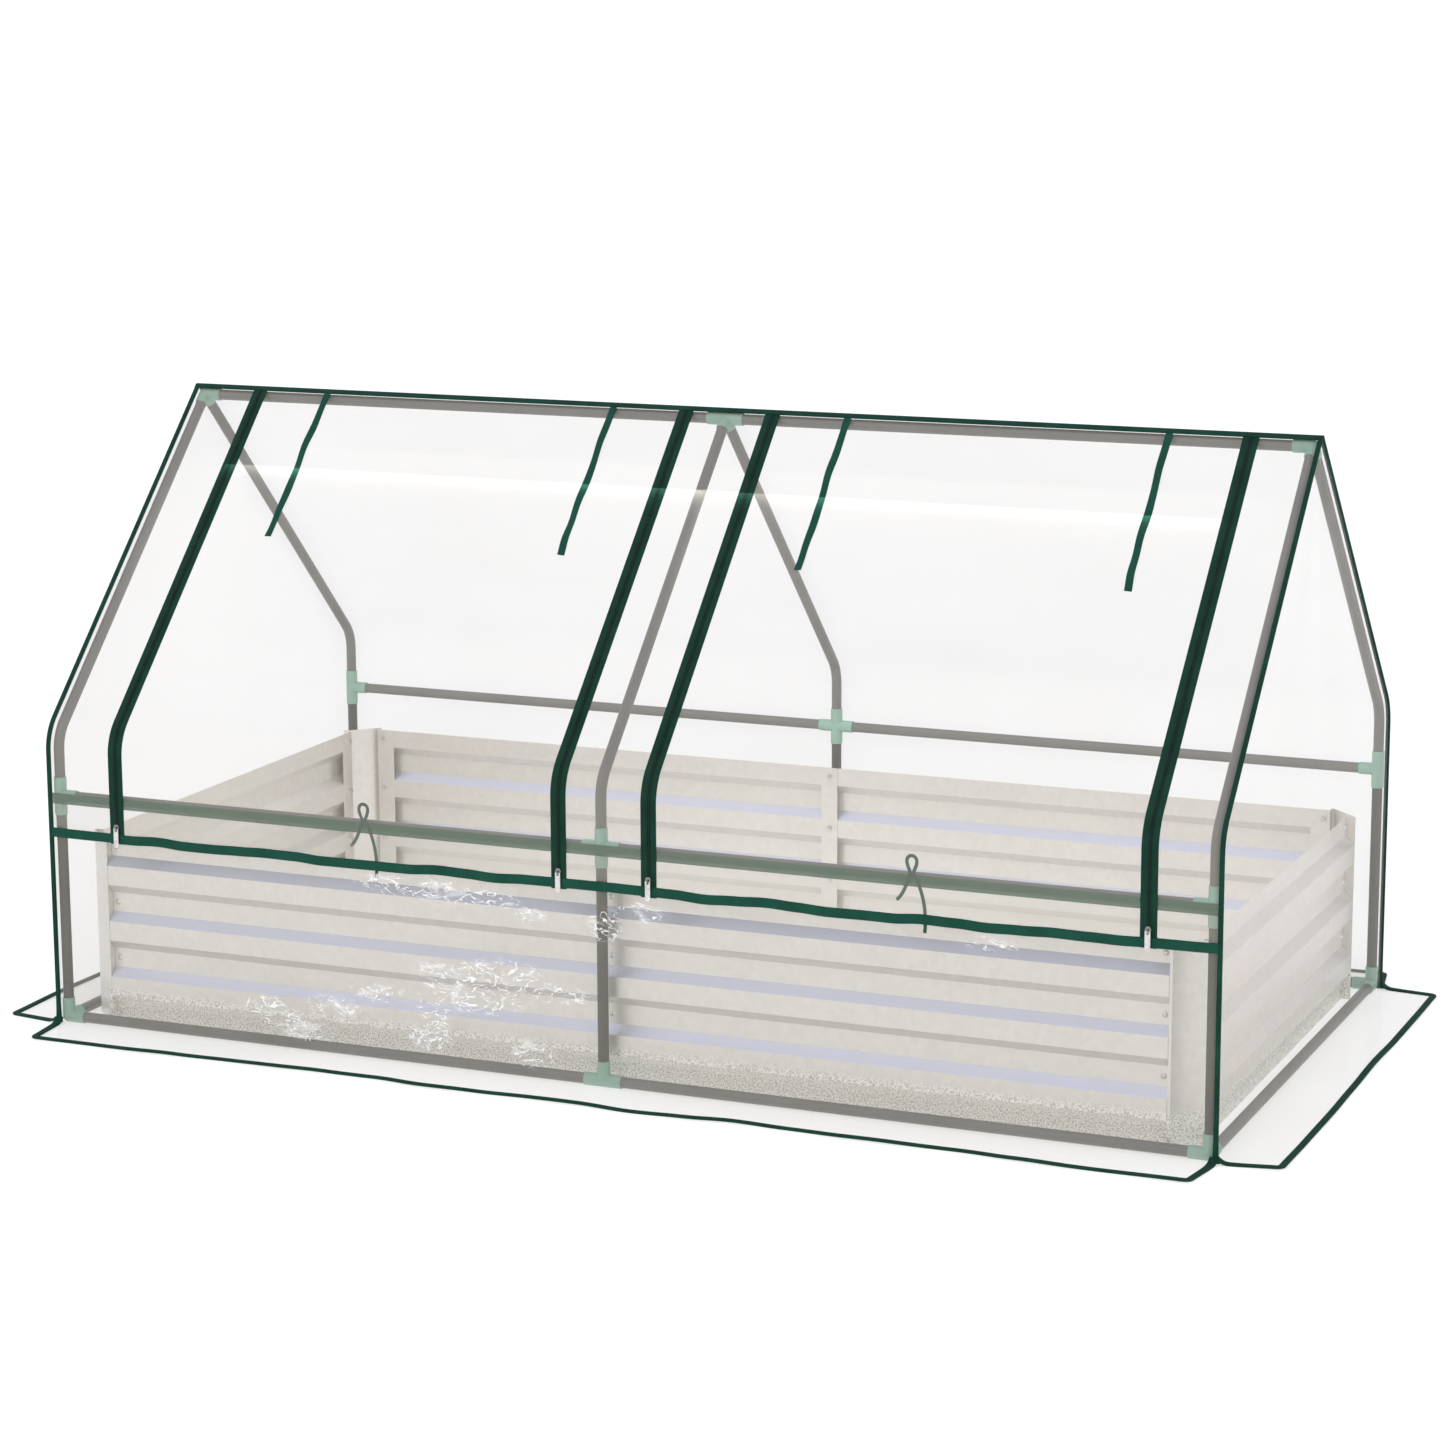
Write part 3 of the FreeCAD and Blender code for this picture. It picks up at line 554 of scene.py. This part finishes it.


# Lower front panel and its flap: one piece of film from the mid rail down to
# the ground and out. It is loose, and creased where it was folded for packing; the creases carry painted highlights.
PANEL_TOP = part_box("cover_front_lower")[1][2]
FLAP = 0.090                # how far the foot lies out on the ground
FRONT_TAPER, GABLE_TAPER = 0.010, 0.022     # shares by which the flaps narrow
FRONT_RIPPLE, BACK_RIPPLE, GABLE_RIPPLE = (27, 2), (23, 0), (11, 0)     # pitch and phase of each edge's wave
FRONT_EDGE = (0.5665, 0.5645, 0.5665, 0.5625, 0.5590, 0.5590, 0.5550, 0.5545, 0.5630, 0.5600, 0.5570, 0.5580,
              0.5640, 0.5600, 0.5520, 0.5545, 0.5580, 0.5575, 0.5560, 0.5620, 0.5650, 0.5640, 0.5650)
CREASE_CLUSTERS = (         # x, z, reach along x, reach along z, strength
    (-0.319, 0.272, 0.060, 0.012, 0.8), (-0.237, 0.268, 0.060, 0.013, 1.0), (-0.165, 0.264, 0.030, 0.010, 1.0),
    (-0.356, 0.105, 0.040, 0.010, 0.9), (-0.256, 0.147, 0.030, 0.012, 0.8), (-0.175, 0.143, 0.050, 0.022, 1.0),
    (-0.143, 0.154, 0.040, 0.018, 0.9), (-0.192, 0.112, 0.060, 0.016, 1.0), (-0.550, 0.066, 0.030, 0.012, 0.9),
    (-0.517, 0.049, 0.030, 0.013, 1.0), (-0.483, 0.034, 0.035, 0.012, 1.0), (-0.265, 0.095, 0.022, 0.032, 0.9),
    (-0.275, 0.047, 0.030, 0.018, 0.9), (-0.109, 0.038, 0.028, 0.018, 0.8), (0.008, 0.243, 0.022, 0.018, 1.0),
    (0.064, 0.267, 0.030, 0.012, 0.7), (-0.109, 0.247, 0.022, 0.010, 0.6), (-0.063, 0.133, 0.040, 0.012, 0.8),
    (-0.430, 0.075, 0.050, 0.020, 0.4), (0.590, 0.275, 0.040, 0.010, 0.5))


def ripple(x, pitch, phase):
    """How far a flap's edge stands off the ground: a slow sine along it, from nothing to 1 mm."""
    return 0.0005 * (1 + np.sin(x * pitch + phase))


def crumpled(x, z):
    """How creased the film is, from 0 to 1: the largest of the clusters' Gaussians at each point."""
    total = np.zeros(np.broadcast_shapes(x.shape, z.shape))
    for middle_x, middle_z, reach_x, reach_z, strength in CREASE_CLUSTERS:
        near = np.exp(-((x - middle_x) / reach_x) ** 2 - ((z - middle_z) / reach_z) ** 2)
        total = np.maximum(total, strength * near)
    return total


x = np.linspace(-COVER_X, COVER_X, 521)[None, :]
wall_z = np.linspace(PANEL_TOP, FOOT_RADIUS + GROUND, 130)[:, None] + 0 * x
crumple = crumpled(x, wall_z)
ridges = 0.0007 * crumple * (1 + np.sin(x * 310 + wall_z * 190) * np.sin(wall_z * 420 - x * 90))
loose = 0.0012 * np.clip((PANEL_TOP - wall_z) / 0.1, 0, 1) * (1 + np.sin(x * 19 + wall_z * 9))
loose = loose * (wall_z / 0.1).clip(0, 1)
flap_reach = wavy(FRONT_EDGE, x[0])[None, :] - SIDE - PANEL_GAP
out, z = flap_rows(loose + ridges, wall_z, flap_reach, ripple(x, *FRONT_RIPPLE))
points = np.stack([x * drawn_in(out, FRONT_TAPER), -SIDE - PANEL_GAP - out, z], -1)
marks = np.concatenate([crumple, np.zeros((len(out) - len(crumple), x.shape[1]))])
grid_piece("film_lower_front", points[::-1], film, "root", crease=marks[::-1])
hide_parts("cover_front_lower", "cover_skirt")

# Back panel: over the ridge, down the slope and the wall, and out on the ground.
BACK_EDGE = (0.560, 0.564, 0.558, 0.562, 0.566, 0.559, 0.563, 0.557, 0.561, 0.565, 0.560, 0.558)
x = np.linspace(-COVER_X, COVER_X, 121)[None, :]
s_end = ALONG[-1] - FOOT_RADIUS - GROUND
s = np.concatenate([np.linspace(S_RIDGE - 0.007, S_RIDGE + 0.02, 12), np.linspace(S_RIDGE + 0.03, s_end, 150)])
s = s[:, None]
upper = on_cover(x, s, relaxed(x, s, -COVER_X, COVER_X, S_RIDGE, s_end, BACK_SLACK))
flap_reach = wavy(BACK_EDGE, x[0])[None, :] - SIDE - FILM_GAP
out, z = flap_rows(upper[-1:, :, 1] - SIDE - FILM_GAP, upper[-1:, :, 2], flap_reach, ripple(x, *BACK_RIPPLE))
lower = np.stack([x * drawn_in(out, FRONT_TAPER), SIDE + FILM_GAP + out, z], -1)
points = np.concatenate([upper, lower[1:]])
grid_piece("film_back", points, film, "root", crease=np.zeros(points.shape[:2]))
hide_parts("cover_back", "cover_skirt")

# Gable panels: five sided, with round knees, and a flap of their own.
GABLE_EDGE = (0.0905, 0.0915, 0.0930, 0.0912, 0.0900, 0.0918, 0.0925, 0.0910)
for side, name in ((-1, "left"), (1, "right")):
    s = np.concatenate([np.linspace(S_RIDGE - 0.0015, S_SLOPE, 70), np.linspace(S_SLOPE, S_KNEE, 12)[1:],
                        np.linspace(S_KNEE, FOOT_RADIUS + GROUND, 50)[1:]])[:, None]
    edge = on_cover(0.0, s, 0.0)
    u = np.linspace(-1, 1, 61)[None, :]
    y, z = -edge[..., 1] * u, edge[..., 2] + 0 * u
    swell = 0.004 * np.cos(u * np.pi / 2) ** 0.7 * np.sin(np.pi * np.clip(z / RIDGE, 0, 1)) ** 0.6
    swell = swell * (0.7 + 0.3 * np.sin(9 * u + 6 * z))
    reach = wavy(GABLE_EDGE, u[0])[None, :]
    out, z = flap_rows(swell, z, reach, ripple(u, *GABLE_RIPPLE))
    y = np.concatenate([y, np.repeat(y[-1:], len(out) - len(y), 0)])
    points = np.stack([side * (COVER_X - HALF_FILM + out), y * drawn_in(out, GABLE_TAPER) * side, z], -1)
    grid_piece("film_gable_" + name, points, film, "root", crease=np.zeros(out.shape))
    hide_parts("cover_gable_" + name, "cover_skirt")


# ---- green webbing ----
# Woven polyester tape in deep green, folded over the film's edges and sewn
# through: the ridge, both gables, the flaps' edges and the doors' hems.

GREEN_DEEP, GREEN_PALE = (0.005, 0.056, 0.036), (0.010, 0.080, 0.052)
BINDING_DEEP, BINDING_PALE = (0.0035, 0.034, 0.021), (0.008, 0.056, 0.036)
SHEER_DEEP, SHEER_PALE = (0.055, 0.135, 0.085), (0.075, 0.165, 0.108)
WEAVE = 1250.0              # threads a metre
RIDGE_REACH = 0.0092        # how far the ridge tape comes down each side
GABLE_TAPE, FLAP_TAPE = (0.0070, 0.0058), (0.0100, 0.0034)      # widths and thicknesses
HEM_TAPE, PANEL_TAPE = (0.0143, 0.0032), (0.0165, 0.0011)


def woven():
    """Node group: plain weave over UVs in metres. Height is the product of two crossed thread waves."""
    tree = bpy.data.node_groups.new("plain_weave", "ShaderNodeTree")
    tree.interface.new_socket("Threads", in_out="INPUT", socket_type="NodeSocketFloat").default_value = WEAVE
    tree.interface.new_socket("Height", in_out="OUTPUT", socket_type="NodeSocketFloat")
    start, end = tree.nodes.new("NodeGroupInput"), tree.nodes.new("NodeGroupOutput")
    spot = tree.nodes.new("ShaderNodeTexCoord")
    split = tree.nodes.new("ShaderNodeSeparateXYZ")
    tree.links.new(spot.outputs["UV"], split.inputs[0])
    waves = []
    for axis in ("X", "Y"):
        turns = arithmetic(tree, "MULTIPLY", split.outputs[axis], start.outputs["Threads"])
        waves.append(arithmetic(tree, "SINE", arithmetic(tree, "MULTIPLY", turns, math.pi), 0.0))
    tree.links.new(arithmetic(tree, "MULTIPLY", waves[0], waves[1]), end.inputs["Height"])
    return tree


WOVEN = woven()


def webbing(name, deep, pale, threads=WEAVE, **plain):
    """Woven tape: weave in height and shade, with a slow cloud of wear."""
    material, tree, shader, clouds = finish(name, 30.0, 900.0, specular_ior_level=0.18, **plain)
    weave = tree.nodes.new("ShaderNodeGroup")
    weave.node_tree = WOVEN
    weave.inputs["Threads"].default_value = threads
    threads_shade = arithmetic(tree, "MULTIPLY", weave.outputs["Height"], 0.16)
    shade = arithmetic(tree, "ADD", threads_shade, clouds.outputs["Cloud"])
    tree.links.new(between(tree, shade, deep, pale, (0.25, 0.75)), shader.inputs["Base Color"])
    tree.links.new(between(tree, clouds.outputs["Grain"], 0.75, 0.9), shader.inputs["Roughness"])
    bumped(tree, shader, weave.outputs["Height"], 0.00015, 0.6)
    return material


green = webbing("deep_green_webbing", GREEN_DEEP, GREEN_PALE)
binding = webbing("dark_green_binding", BINDING_DEEP, BINDING_PALE)


def rounded(width, height, count, power):
    """Closed section of a tape: a superellipse of that width and height."""
    t = np.linspace(0, 2 * math.pi, count, endpoint=False)
    return np.stack([size / 2 * np.sign(wave) * np.abs(wave) ** (2 / power)
                     for size, wave in ((width, np.cos(t)), (height, np.sin(t)))], 1)


def carried(name, path, across, up, section, material, body, grow=None):
    """A closed section carried along a path: point = path + a across + b up, with closed ends. grow scales a."""
    grow = np.ones(len(path)) if grow is None else grow
    points = (path[:, None] + section[None, :, :1] * grow[:, None, None] * across[:, None]
              + section[None, :, 1:] * up[:, None])
    return grid_piece(name, points, material, body, loop=True, caps=True)


def facing(vector, count):
    """One direction repeated along a path."""
    return np.broadcast_to(np.array(vector, float), (count, 3))


# Ridge tape: folded over the ridge, 9 mm down each side.
x = np.linspace(-COVER_X - 0.002, COVER_X + 0.002, 90)
s = np.linspace(S_RIDGE - RIDGE_REACH, S_RIDGE + RIDGE_REACH, 15)
outer, inner = (on_cover(0.0, s, lift)[:, 1:] for lift in (0.0019, 0.0003))
section = np.concatenate([outer, inner[::-1]])
points = np.concatenate([np.broadcast_to(x[:, None, None], (len(x), len(section), 1)),
                         np.broadcast_to(section[None], (len(x), len(section), 2))], 2)
ridge_tape = grid_piece("tape_ridge", points[::-1], binding, "root", loop=True, caps=True)

# Gable tapes: along each end's seam from ground to ground, wider at the foot
# where they meet the flaps' own tapes.
for side, name in ((-1, "left"), (1, "right")):
    s = np.concatenate([np.linspace(0.0012, 0.06, 20), np.linspace(0.07, ALONG[-1] - 0.07, 260),
                        np.linspace(ALONG[-1] - 0.06, ALONG[-1] - 0.0012, 20)])
    path = on_cover(side * (COVER_X - 0.0012), s, -0.0006)
    foot = np.minimum(s, ALONG[-1] - s)
    grow = 1 + 0.9 * np.exp(-foot / 0.009)
    section = rounded(*GABLE_TAPE, 16, 3.0)
    if side > 0:
        section = section * (-1, 1)
    carried("tape_gable_" + name, path, facing((side, 0, 0), len(s)), outward(s), section[::side],
                                binding, "root", grow)


def smoothed(points, spread):
    """Points of a path evened out at 3 mm, then averaged over spread points, which rounds its corners."""
    length = np.concatenate([[0], np.cumsum(np.linalg.norm(np.diff(points, axis=0), axis=1))])
    at = np.linspace(0, length[-1], int(length[-1] / 0.003))
    even = np.stack([np.interp(at, length, points[:, k]) for k in range(3)], 1)
    padded = np.concatenate([np.repeat(even[:1], spread, 0), even, np.repeat(even[-1:], spread, 0)])
    kernel = np.ones(2 * spread + 1) / (2 * spread + 1)
    return np.stack([np.convolve(padded[:, k], kernel, "valid") for k in range(3)], 1)


def flap_tape(name, start, ends, edge, finish_at):
    """Tape round a flap's three free edges: up at the gable's foot, out along one end, along the edge and back."""
    path = smoothed(np.concatenate([start, ends[:1], edge, ends[1:], finish_at]), 2)
    way = np.gradient(path, axis=0)
    way /= np.linalg.norm(way, axis=1, keepdims=True)
    across = np.cross(way, (0, 0, 1.0))
    across /= np.linalg.norm(across, axis=1, keepdims=True)
    grow = 1 + 0.5 * np.exp(-np.minimum(np.arange(len(path)), np.arange(len(path))[::-1]) / 9.0)
    return carried(name, path, across, np.cross(across, way), rounded(*FLAP_TAPE, 14, 4.0)[::-1], binding, "root", grow)


TAPE_Z = 0.0018             # height of the flap tapes' middle
EDGE_IN = 0.0040            # from the film's edge in to the middle of its tape
FRONT_INSET, GABLE_INSET = 0.985, 0.975     # share of the wall's width that a flap's edge tape spans
SEAM_Z = 0.010              # height where a flap's tape leaves the gable's seam
x = np.linspace(-COVER_X, COVER_X, 200)
WALL = SIDE + FILM_GAP      # from the middle to the film of the front and back walls
for name, sign, values, wave in (("front", -1, FRONT_EDGE, FRONT_RIPPLE), ("back", 1, BACK_EDGE, BACK_RIPPLE)):
    edge = np.stack([x * FRONT_INSET, sign * (wavy(values, x) - EDGE_IN), TAPE_Z + ripple(x, *wave)], 1)
    feet = [np.array([[end * (COVER_X - 0.002), sign * WALL, SEAM_Z],
                      [end * (COVER_X - 0.004), sign * (WALL + 0.010), TAPE_Z]]) for end in (-1, 1)]
    ends = np.array([[end * (COVER_X - 0.006), sign * (WALL + 0.03), 0.0016] for end in (-1, 1)])
    flap_tape("tape_flap_" + name, feet[0], ends, edge, feet[1][::-1])
for name, sign in (("left", -1), ("right", 1)):
    u = np.linspace(-1, 1, 120)
    out = COVER_X + wavy(GABLE_EDGE, u) - EDGE_IN
    edge = np.stack([sign * out, u * WALL * GABLE_INSET * sign, TAPE_Z + ripple(u, *GABLE_RIPPLE)], 1)
    feet = [np.array([[sign * COVER_X, end * WALL * sign, SEAM_Z],
                      [sign * (COVER_X + 0.010), end * sign * (WALL - 0.001), TAPE_Z]]) for end in (-1, 1)]
    ends = np.array([[sign * (COVER_X + 0.03), end * sign * (WALL - 0.004), 0.0016] for end in (-1, 1)])
    flap_tape("tape_flap_" + name, feet[0], ends, edge, feet[1][::-1])

# Hem tape: 14 mm high along the foot of the doors and the strips beside them.
# It is cut at each zip. Its height wanders where the stitching drew the film up.
HEM_RISE = (0.2998, 0.2994, 0.2993, 0.2982, 0.3000, 0.2978, 0.2977, 0.2984, 0.2998, 0.2996, 0.2968, 0.2968, 0.2976,
            0.2977, 0.3002, 0.2992, 0.2974, 0.2994, 0.2996, 0.2999, 0.3002, 0.2996, 0.2990, 0.2967, 0.2987, 0.3004,
            0.2986, 0.2968, 0.2970, 0.2965, 0.2998, 0.2990, 0.2965, 0.2975, 0.2993, 0.2984, 0.2975, 0.2988, 0.2992,
            0.2996)
cuts = [-COVER_X - 0.001, *ZIPS, COVER_X + 0.001]
for k, (name, body) in enumerate((("strip_left", "root"), ("left", "left_door_flap"), ("strip_middle", "root"),
                                  ("right", "right_door_flap"), ("strip_right", "root"))):
    x0, x1 = cuts[k] + (SEAM if k else 0), cuts[k + 1] - (SEAM if k < 4 else 0)
    x = np.linspace(x0, x1, max(24, int((x1 - x0) / 0.006)))
    height = wavy(HEM_RISE, np.concatenate([[-COVER_X, COVER_X], x]))[2:]
    path = np.stack([x, -SIDE - FILM_GAP - hem_wave(x) - 0.0003, height], 1)
    carried("tape_hem_" + name, path, facing((0, 0, 1), len(x)), facing((0, -1, 0), len(x)),
                         rounded(*HEM_TAPE, 18, 5.0), green, body)

# Top hem of the lower panel: thinner tape that lets the mid rail show through.
sheer = webbing("sheer_green_tape", SHEER_DEEP, SHEER_PALE, alpha=0.72)
x = np.linspace(-COVER_X + 0.001, COVER_X - 0.001, 200)
path = np.stack([x, 0 * x - SIDE - PANEL_GAP, 0 * x + PANEL_TOP - 0.0075], 1)
panel_hem = carried("tape_panel_top", path, facing((0, 0, 1), len(x)), facing((0, -1, 0), len(x)),
                    rounded(*PANEL_TAPE, 14, 6.0), sheer, "root")


# ---- zips ----
# Coil zips on dark green tape, one down each edge of both doors. Half of each
# zip is sewn to the door and half to the fixed film, with the coil between.

ZIP_TAPE = (0.012, 0.0009)  # width and thickness of one half
ZIP_TAPE_LIFT = 0.00075     # middle of the tape over the film
COIL, COIL_PITCH = (0.0022, 0.0015), 0.0030
COIL_OUT, COIL_LIFT = 0.00122, 0.0021       # middle of a coil from the zip's middle and over the film
ZIP_WEAVE = 1600.0
ZIP_DEEP, ZIP_PALE = (0.003, 0.031, 0.019), (0.008, 0.050, 0.031)
COIL_DEEP, COIL_PALE = (0.008, 0.022, 0.016), (0.014, 0.032, 0.024)
zip_tape = webbing("dark_zip_tape", ZIP_DEEP, ZIP_PALE, ZIP_WEAVE)
nylon = mottled("dark_nylon_coil", (60.0, 1500.0), COIL_DEEP, COIL_PALE, (0.6, 0.75), specular_ior_level=0.12)[0]

for k, (zip_name, fixed_side) in enumerate((("left_door_left", -1), ("left_door_right", 1), ("right_door_left", -1),
                                            ("right_door_right", 1))):
    door = zip_name.split("_")[0]
    for half, sign in (("fixed", fixed_side), ("door", -fixed_side)):
        body = "root" if half == "fixed" else (door + "_door_roof", door + "_door_flap")
        s = np.linspace(S_HEM, TOP_EDGE, 170)
        middle_x = ZIPS[k] + sign * (0.0001 + ZIP_TAPE[0] / 2)
        tape = carried(f"zip_tape_{zip_name}_{half}", on_cover(middle_x, s, ZIP_TAPE_LIFT), facing((1, 0, 0), len(s)),
                       outward(s), rounded(*ZIP_TAPE, 12, 8.0)[::-1], zip_tape, body)
        s = np.arange(S_HEM + 0.012, TOP_EDGE - 0.002, COIL_PITCH / 4)
        tooth = 1 + 0.22 * np.cos(2 * np.pi * s / COIL_PITCH + (0 if sign > 0 else np.pi))
        coil = carried(f"zip_coil_{zip_name}_{half}", on_cover(ZIPS[k] + sign * COIL_OUT, s, COIL_LIFT),
                       facing((1, 0, 0), len(s)), outward(s), rounded(*COIL, 8, 2.0)[::-1], nylon, body, tooth)
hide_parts("zip_tapes")

# Sliders are die cast zinc with nickel plate, their colour painted dark as shade for the dark reflections round their
# bodies, and their pulls are bright nickel.
for start, plate, low, high in (("slider_", "nickel_plate_painted_dark", (0.16, 0.16, 0.15), (0.34, 0.33, 0.32)),
                                ("pull_", "bright_nickel_plate", (0.55, 0.55, 0.54), (0.78, 0.77, 0.75))):
    nickel, tree, shader, clouds = mottled(plate, (260.0, 2200.0), low, high, (0.16, 0.30), metallic=1.0)
    bumped(tree, shader, clouds.outputs["Cloud"], 0.0004, 0.5)
    dress([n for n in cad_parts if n.startswith(start)], nickel)


# ---- ties ----
# Narrow green ribbon. Two ties hang from the ridge on each door, to hold it
# rolled up, and a bow is tied on the lower panel's hem in front of each door.

RIBBON, RIBBON_THICKNESS = 0.011, 0.0005
TIE_LENGTH, TIE_INSET = 0.280, 0.1195       # TIE_INSET is from the door's edge
for side, (x0, x1) in doors.items():
    for end, x_tie, phase in (("left", x0 + TIE_INSET, 0.6), ("right", x1 - TIE_INSET, 2.9)):
        q = np.linspace(0, 1, 110)[:, None]
        s = S_RIDGE - 0.009 - TIE_LENGTH * q
        wander = 0.0013 * np.sin(q * 11 + phase) * q ** 0.5 + 0.0006 * np.sin(q * 27 + 2 * phase) * q
        rise = 0.0014 + 0.0010 * np.clip(q * 4, 0, 1) * (1 + np.sin(q * 19 + phase))
        u = np.linspace(-0.5, 0.5, 9)[None, :]
        tilt = 0.16 * np.sin(q * 15 + phase)
        points = on_cover(x_tie + wander + u * RIBBON, s, rise + u * RIBBON * tilt * np.clip(q * 4, 0, 1))
        tie = grid_piece(f"ribbon_{side}_door_{end}", points, green, side + "_door_roof")
        thick = tie.modifiers.new("thickness", "SOLIDIFY")
        thick.thickness = RIBBON_THICKNESS
        thick.offset = 0
    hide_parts(side + "_door_ties")

# Each bow is one ribbon folded in half along its length, tied in a single loop.
BOW_TOP, BOW_KNOT, BOW_WIDTH, BOW_FOLD = 0.3880, 0.3610, 0.0050, 0.0002
BOW_LIFT, BOW_CROSSING = 0.0006, 0.0010     # out from the panel, and between the ribbon's two ends where they cross
SHORT_END, SHORT_PULL = (-0.023, 0.3225), (-0.012, 0.3300)      # each tail's end and the point it curves towards
LONG_END, LONG_PULL = (0.0195, 0.2790), (0.024, 0.3300)
faded = webbing("faded_tie_ribbon", (0.026, 0.070, 0.050), (0.042, 0.092, 0.070))
for place, x_bow in (("left", -0.376), ("right", 0.474)):
    turn = np.linspace(-0.82 * np.pi, 0.82 * np.pi, 60)
    loop = np.stack([0.0108 * np.sin(turn) * (0.62 + 0.38 * np.cos(turn)),
                     (BOW_TOP + BOW_KNOT) / 2 + (BOW_TOP - BOW_KNOT) / 2 * np.cos(turn)], 1)
    share = np.linspace(0, 1, 30)[:, None]
    short_tail = (1 - share) ** 2 * SHORT_END + 2 * share * (1 - share) * SHORT_PULL + share ** 2 * loop[0]
    long_tail = share ** 2 * LONG_END + 2 * share * (1 - share) * LONG_PULL + (1 - share) ** 2 * loop[-1]
    flat_path = np.concatenate([short_tail[:-1], loop, long_tail[1:]])
    layer = np.concatenate([np.zeros(29), np.linspace(0, BOW_CROSSING, 60), np.full(29, BOW_CROSSING)])
    path = smoothed(np.stack([x_bow + flat_path[:, 0], -SIDE - PANEL_GAP - BOW_LIFT - layer, flat_path[:, 1]], 1), 1)
    way = np.gradient(path, axis=0)
    way /= np.linalg.norm(way, axis=1, keepdims=True)
    across = np.cross(way, (0, -1.0, 0))
    across /= np.linalg.norm(across, axis=1, keepdims=True)
    u = np.array([0.5, 0.0, -0.5, -0.5, 0.0, 0.5])[None, :, None]
    depth = np.array([1.0, 1.0, 0.6, -0.6, -1.0, -1.0])[None, :, None] * (0, BOW_FOLD, 0)
    bow = grid_piece("bow_" + place, path[:, None] + u * BOW_WIDTH * across[:, None] + depth, faded, "root")
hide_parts("panel_tie_bows")


# ---- fixed strips ----
# The zip halves sewn to each fixed strip and the strip's edges, and the bounds
# of everything shown.

fixed_halves = {"strip_left": ["left_door_left"], "strip_middle": ["left_door_right", "right_door_left"],
                "strip_right": ["right_door_right"]}
for place, zip_names in fixed_halves.items():
    x0, x1 = strips[place]

low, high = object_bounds()
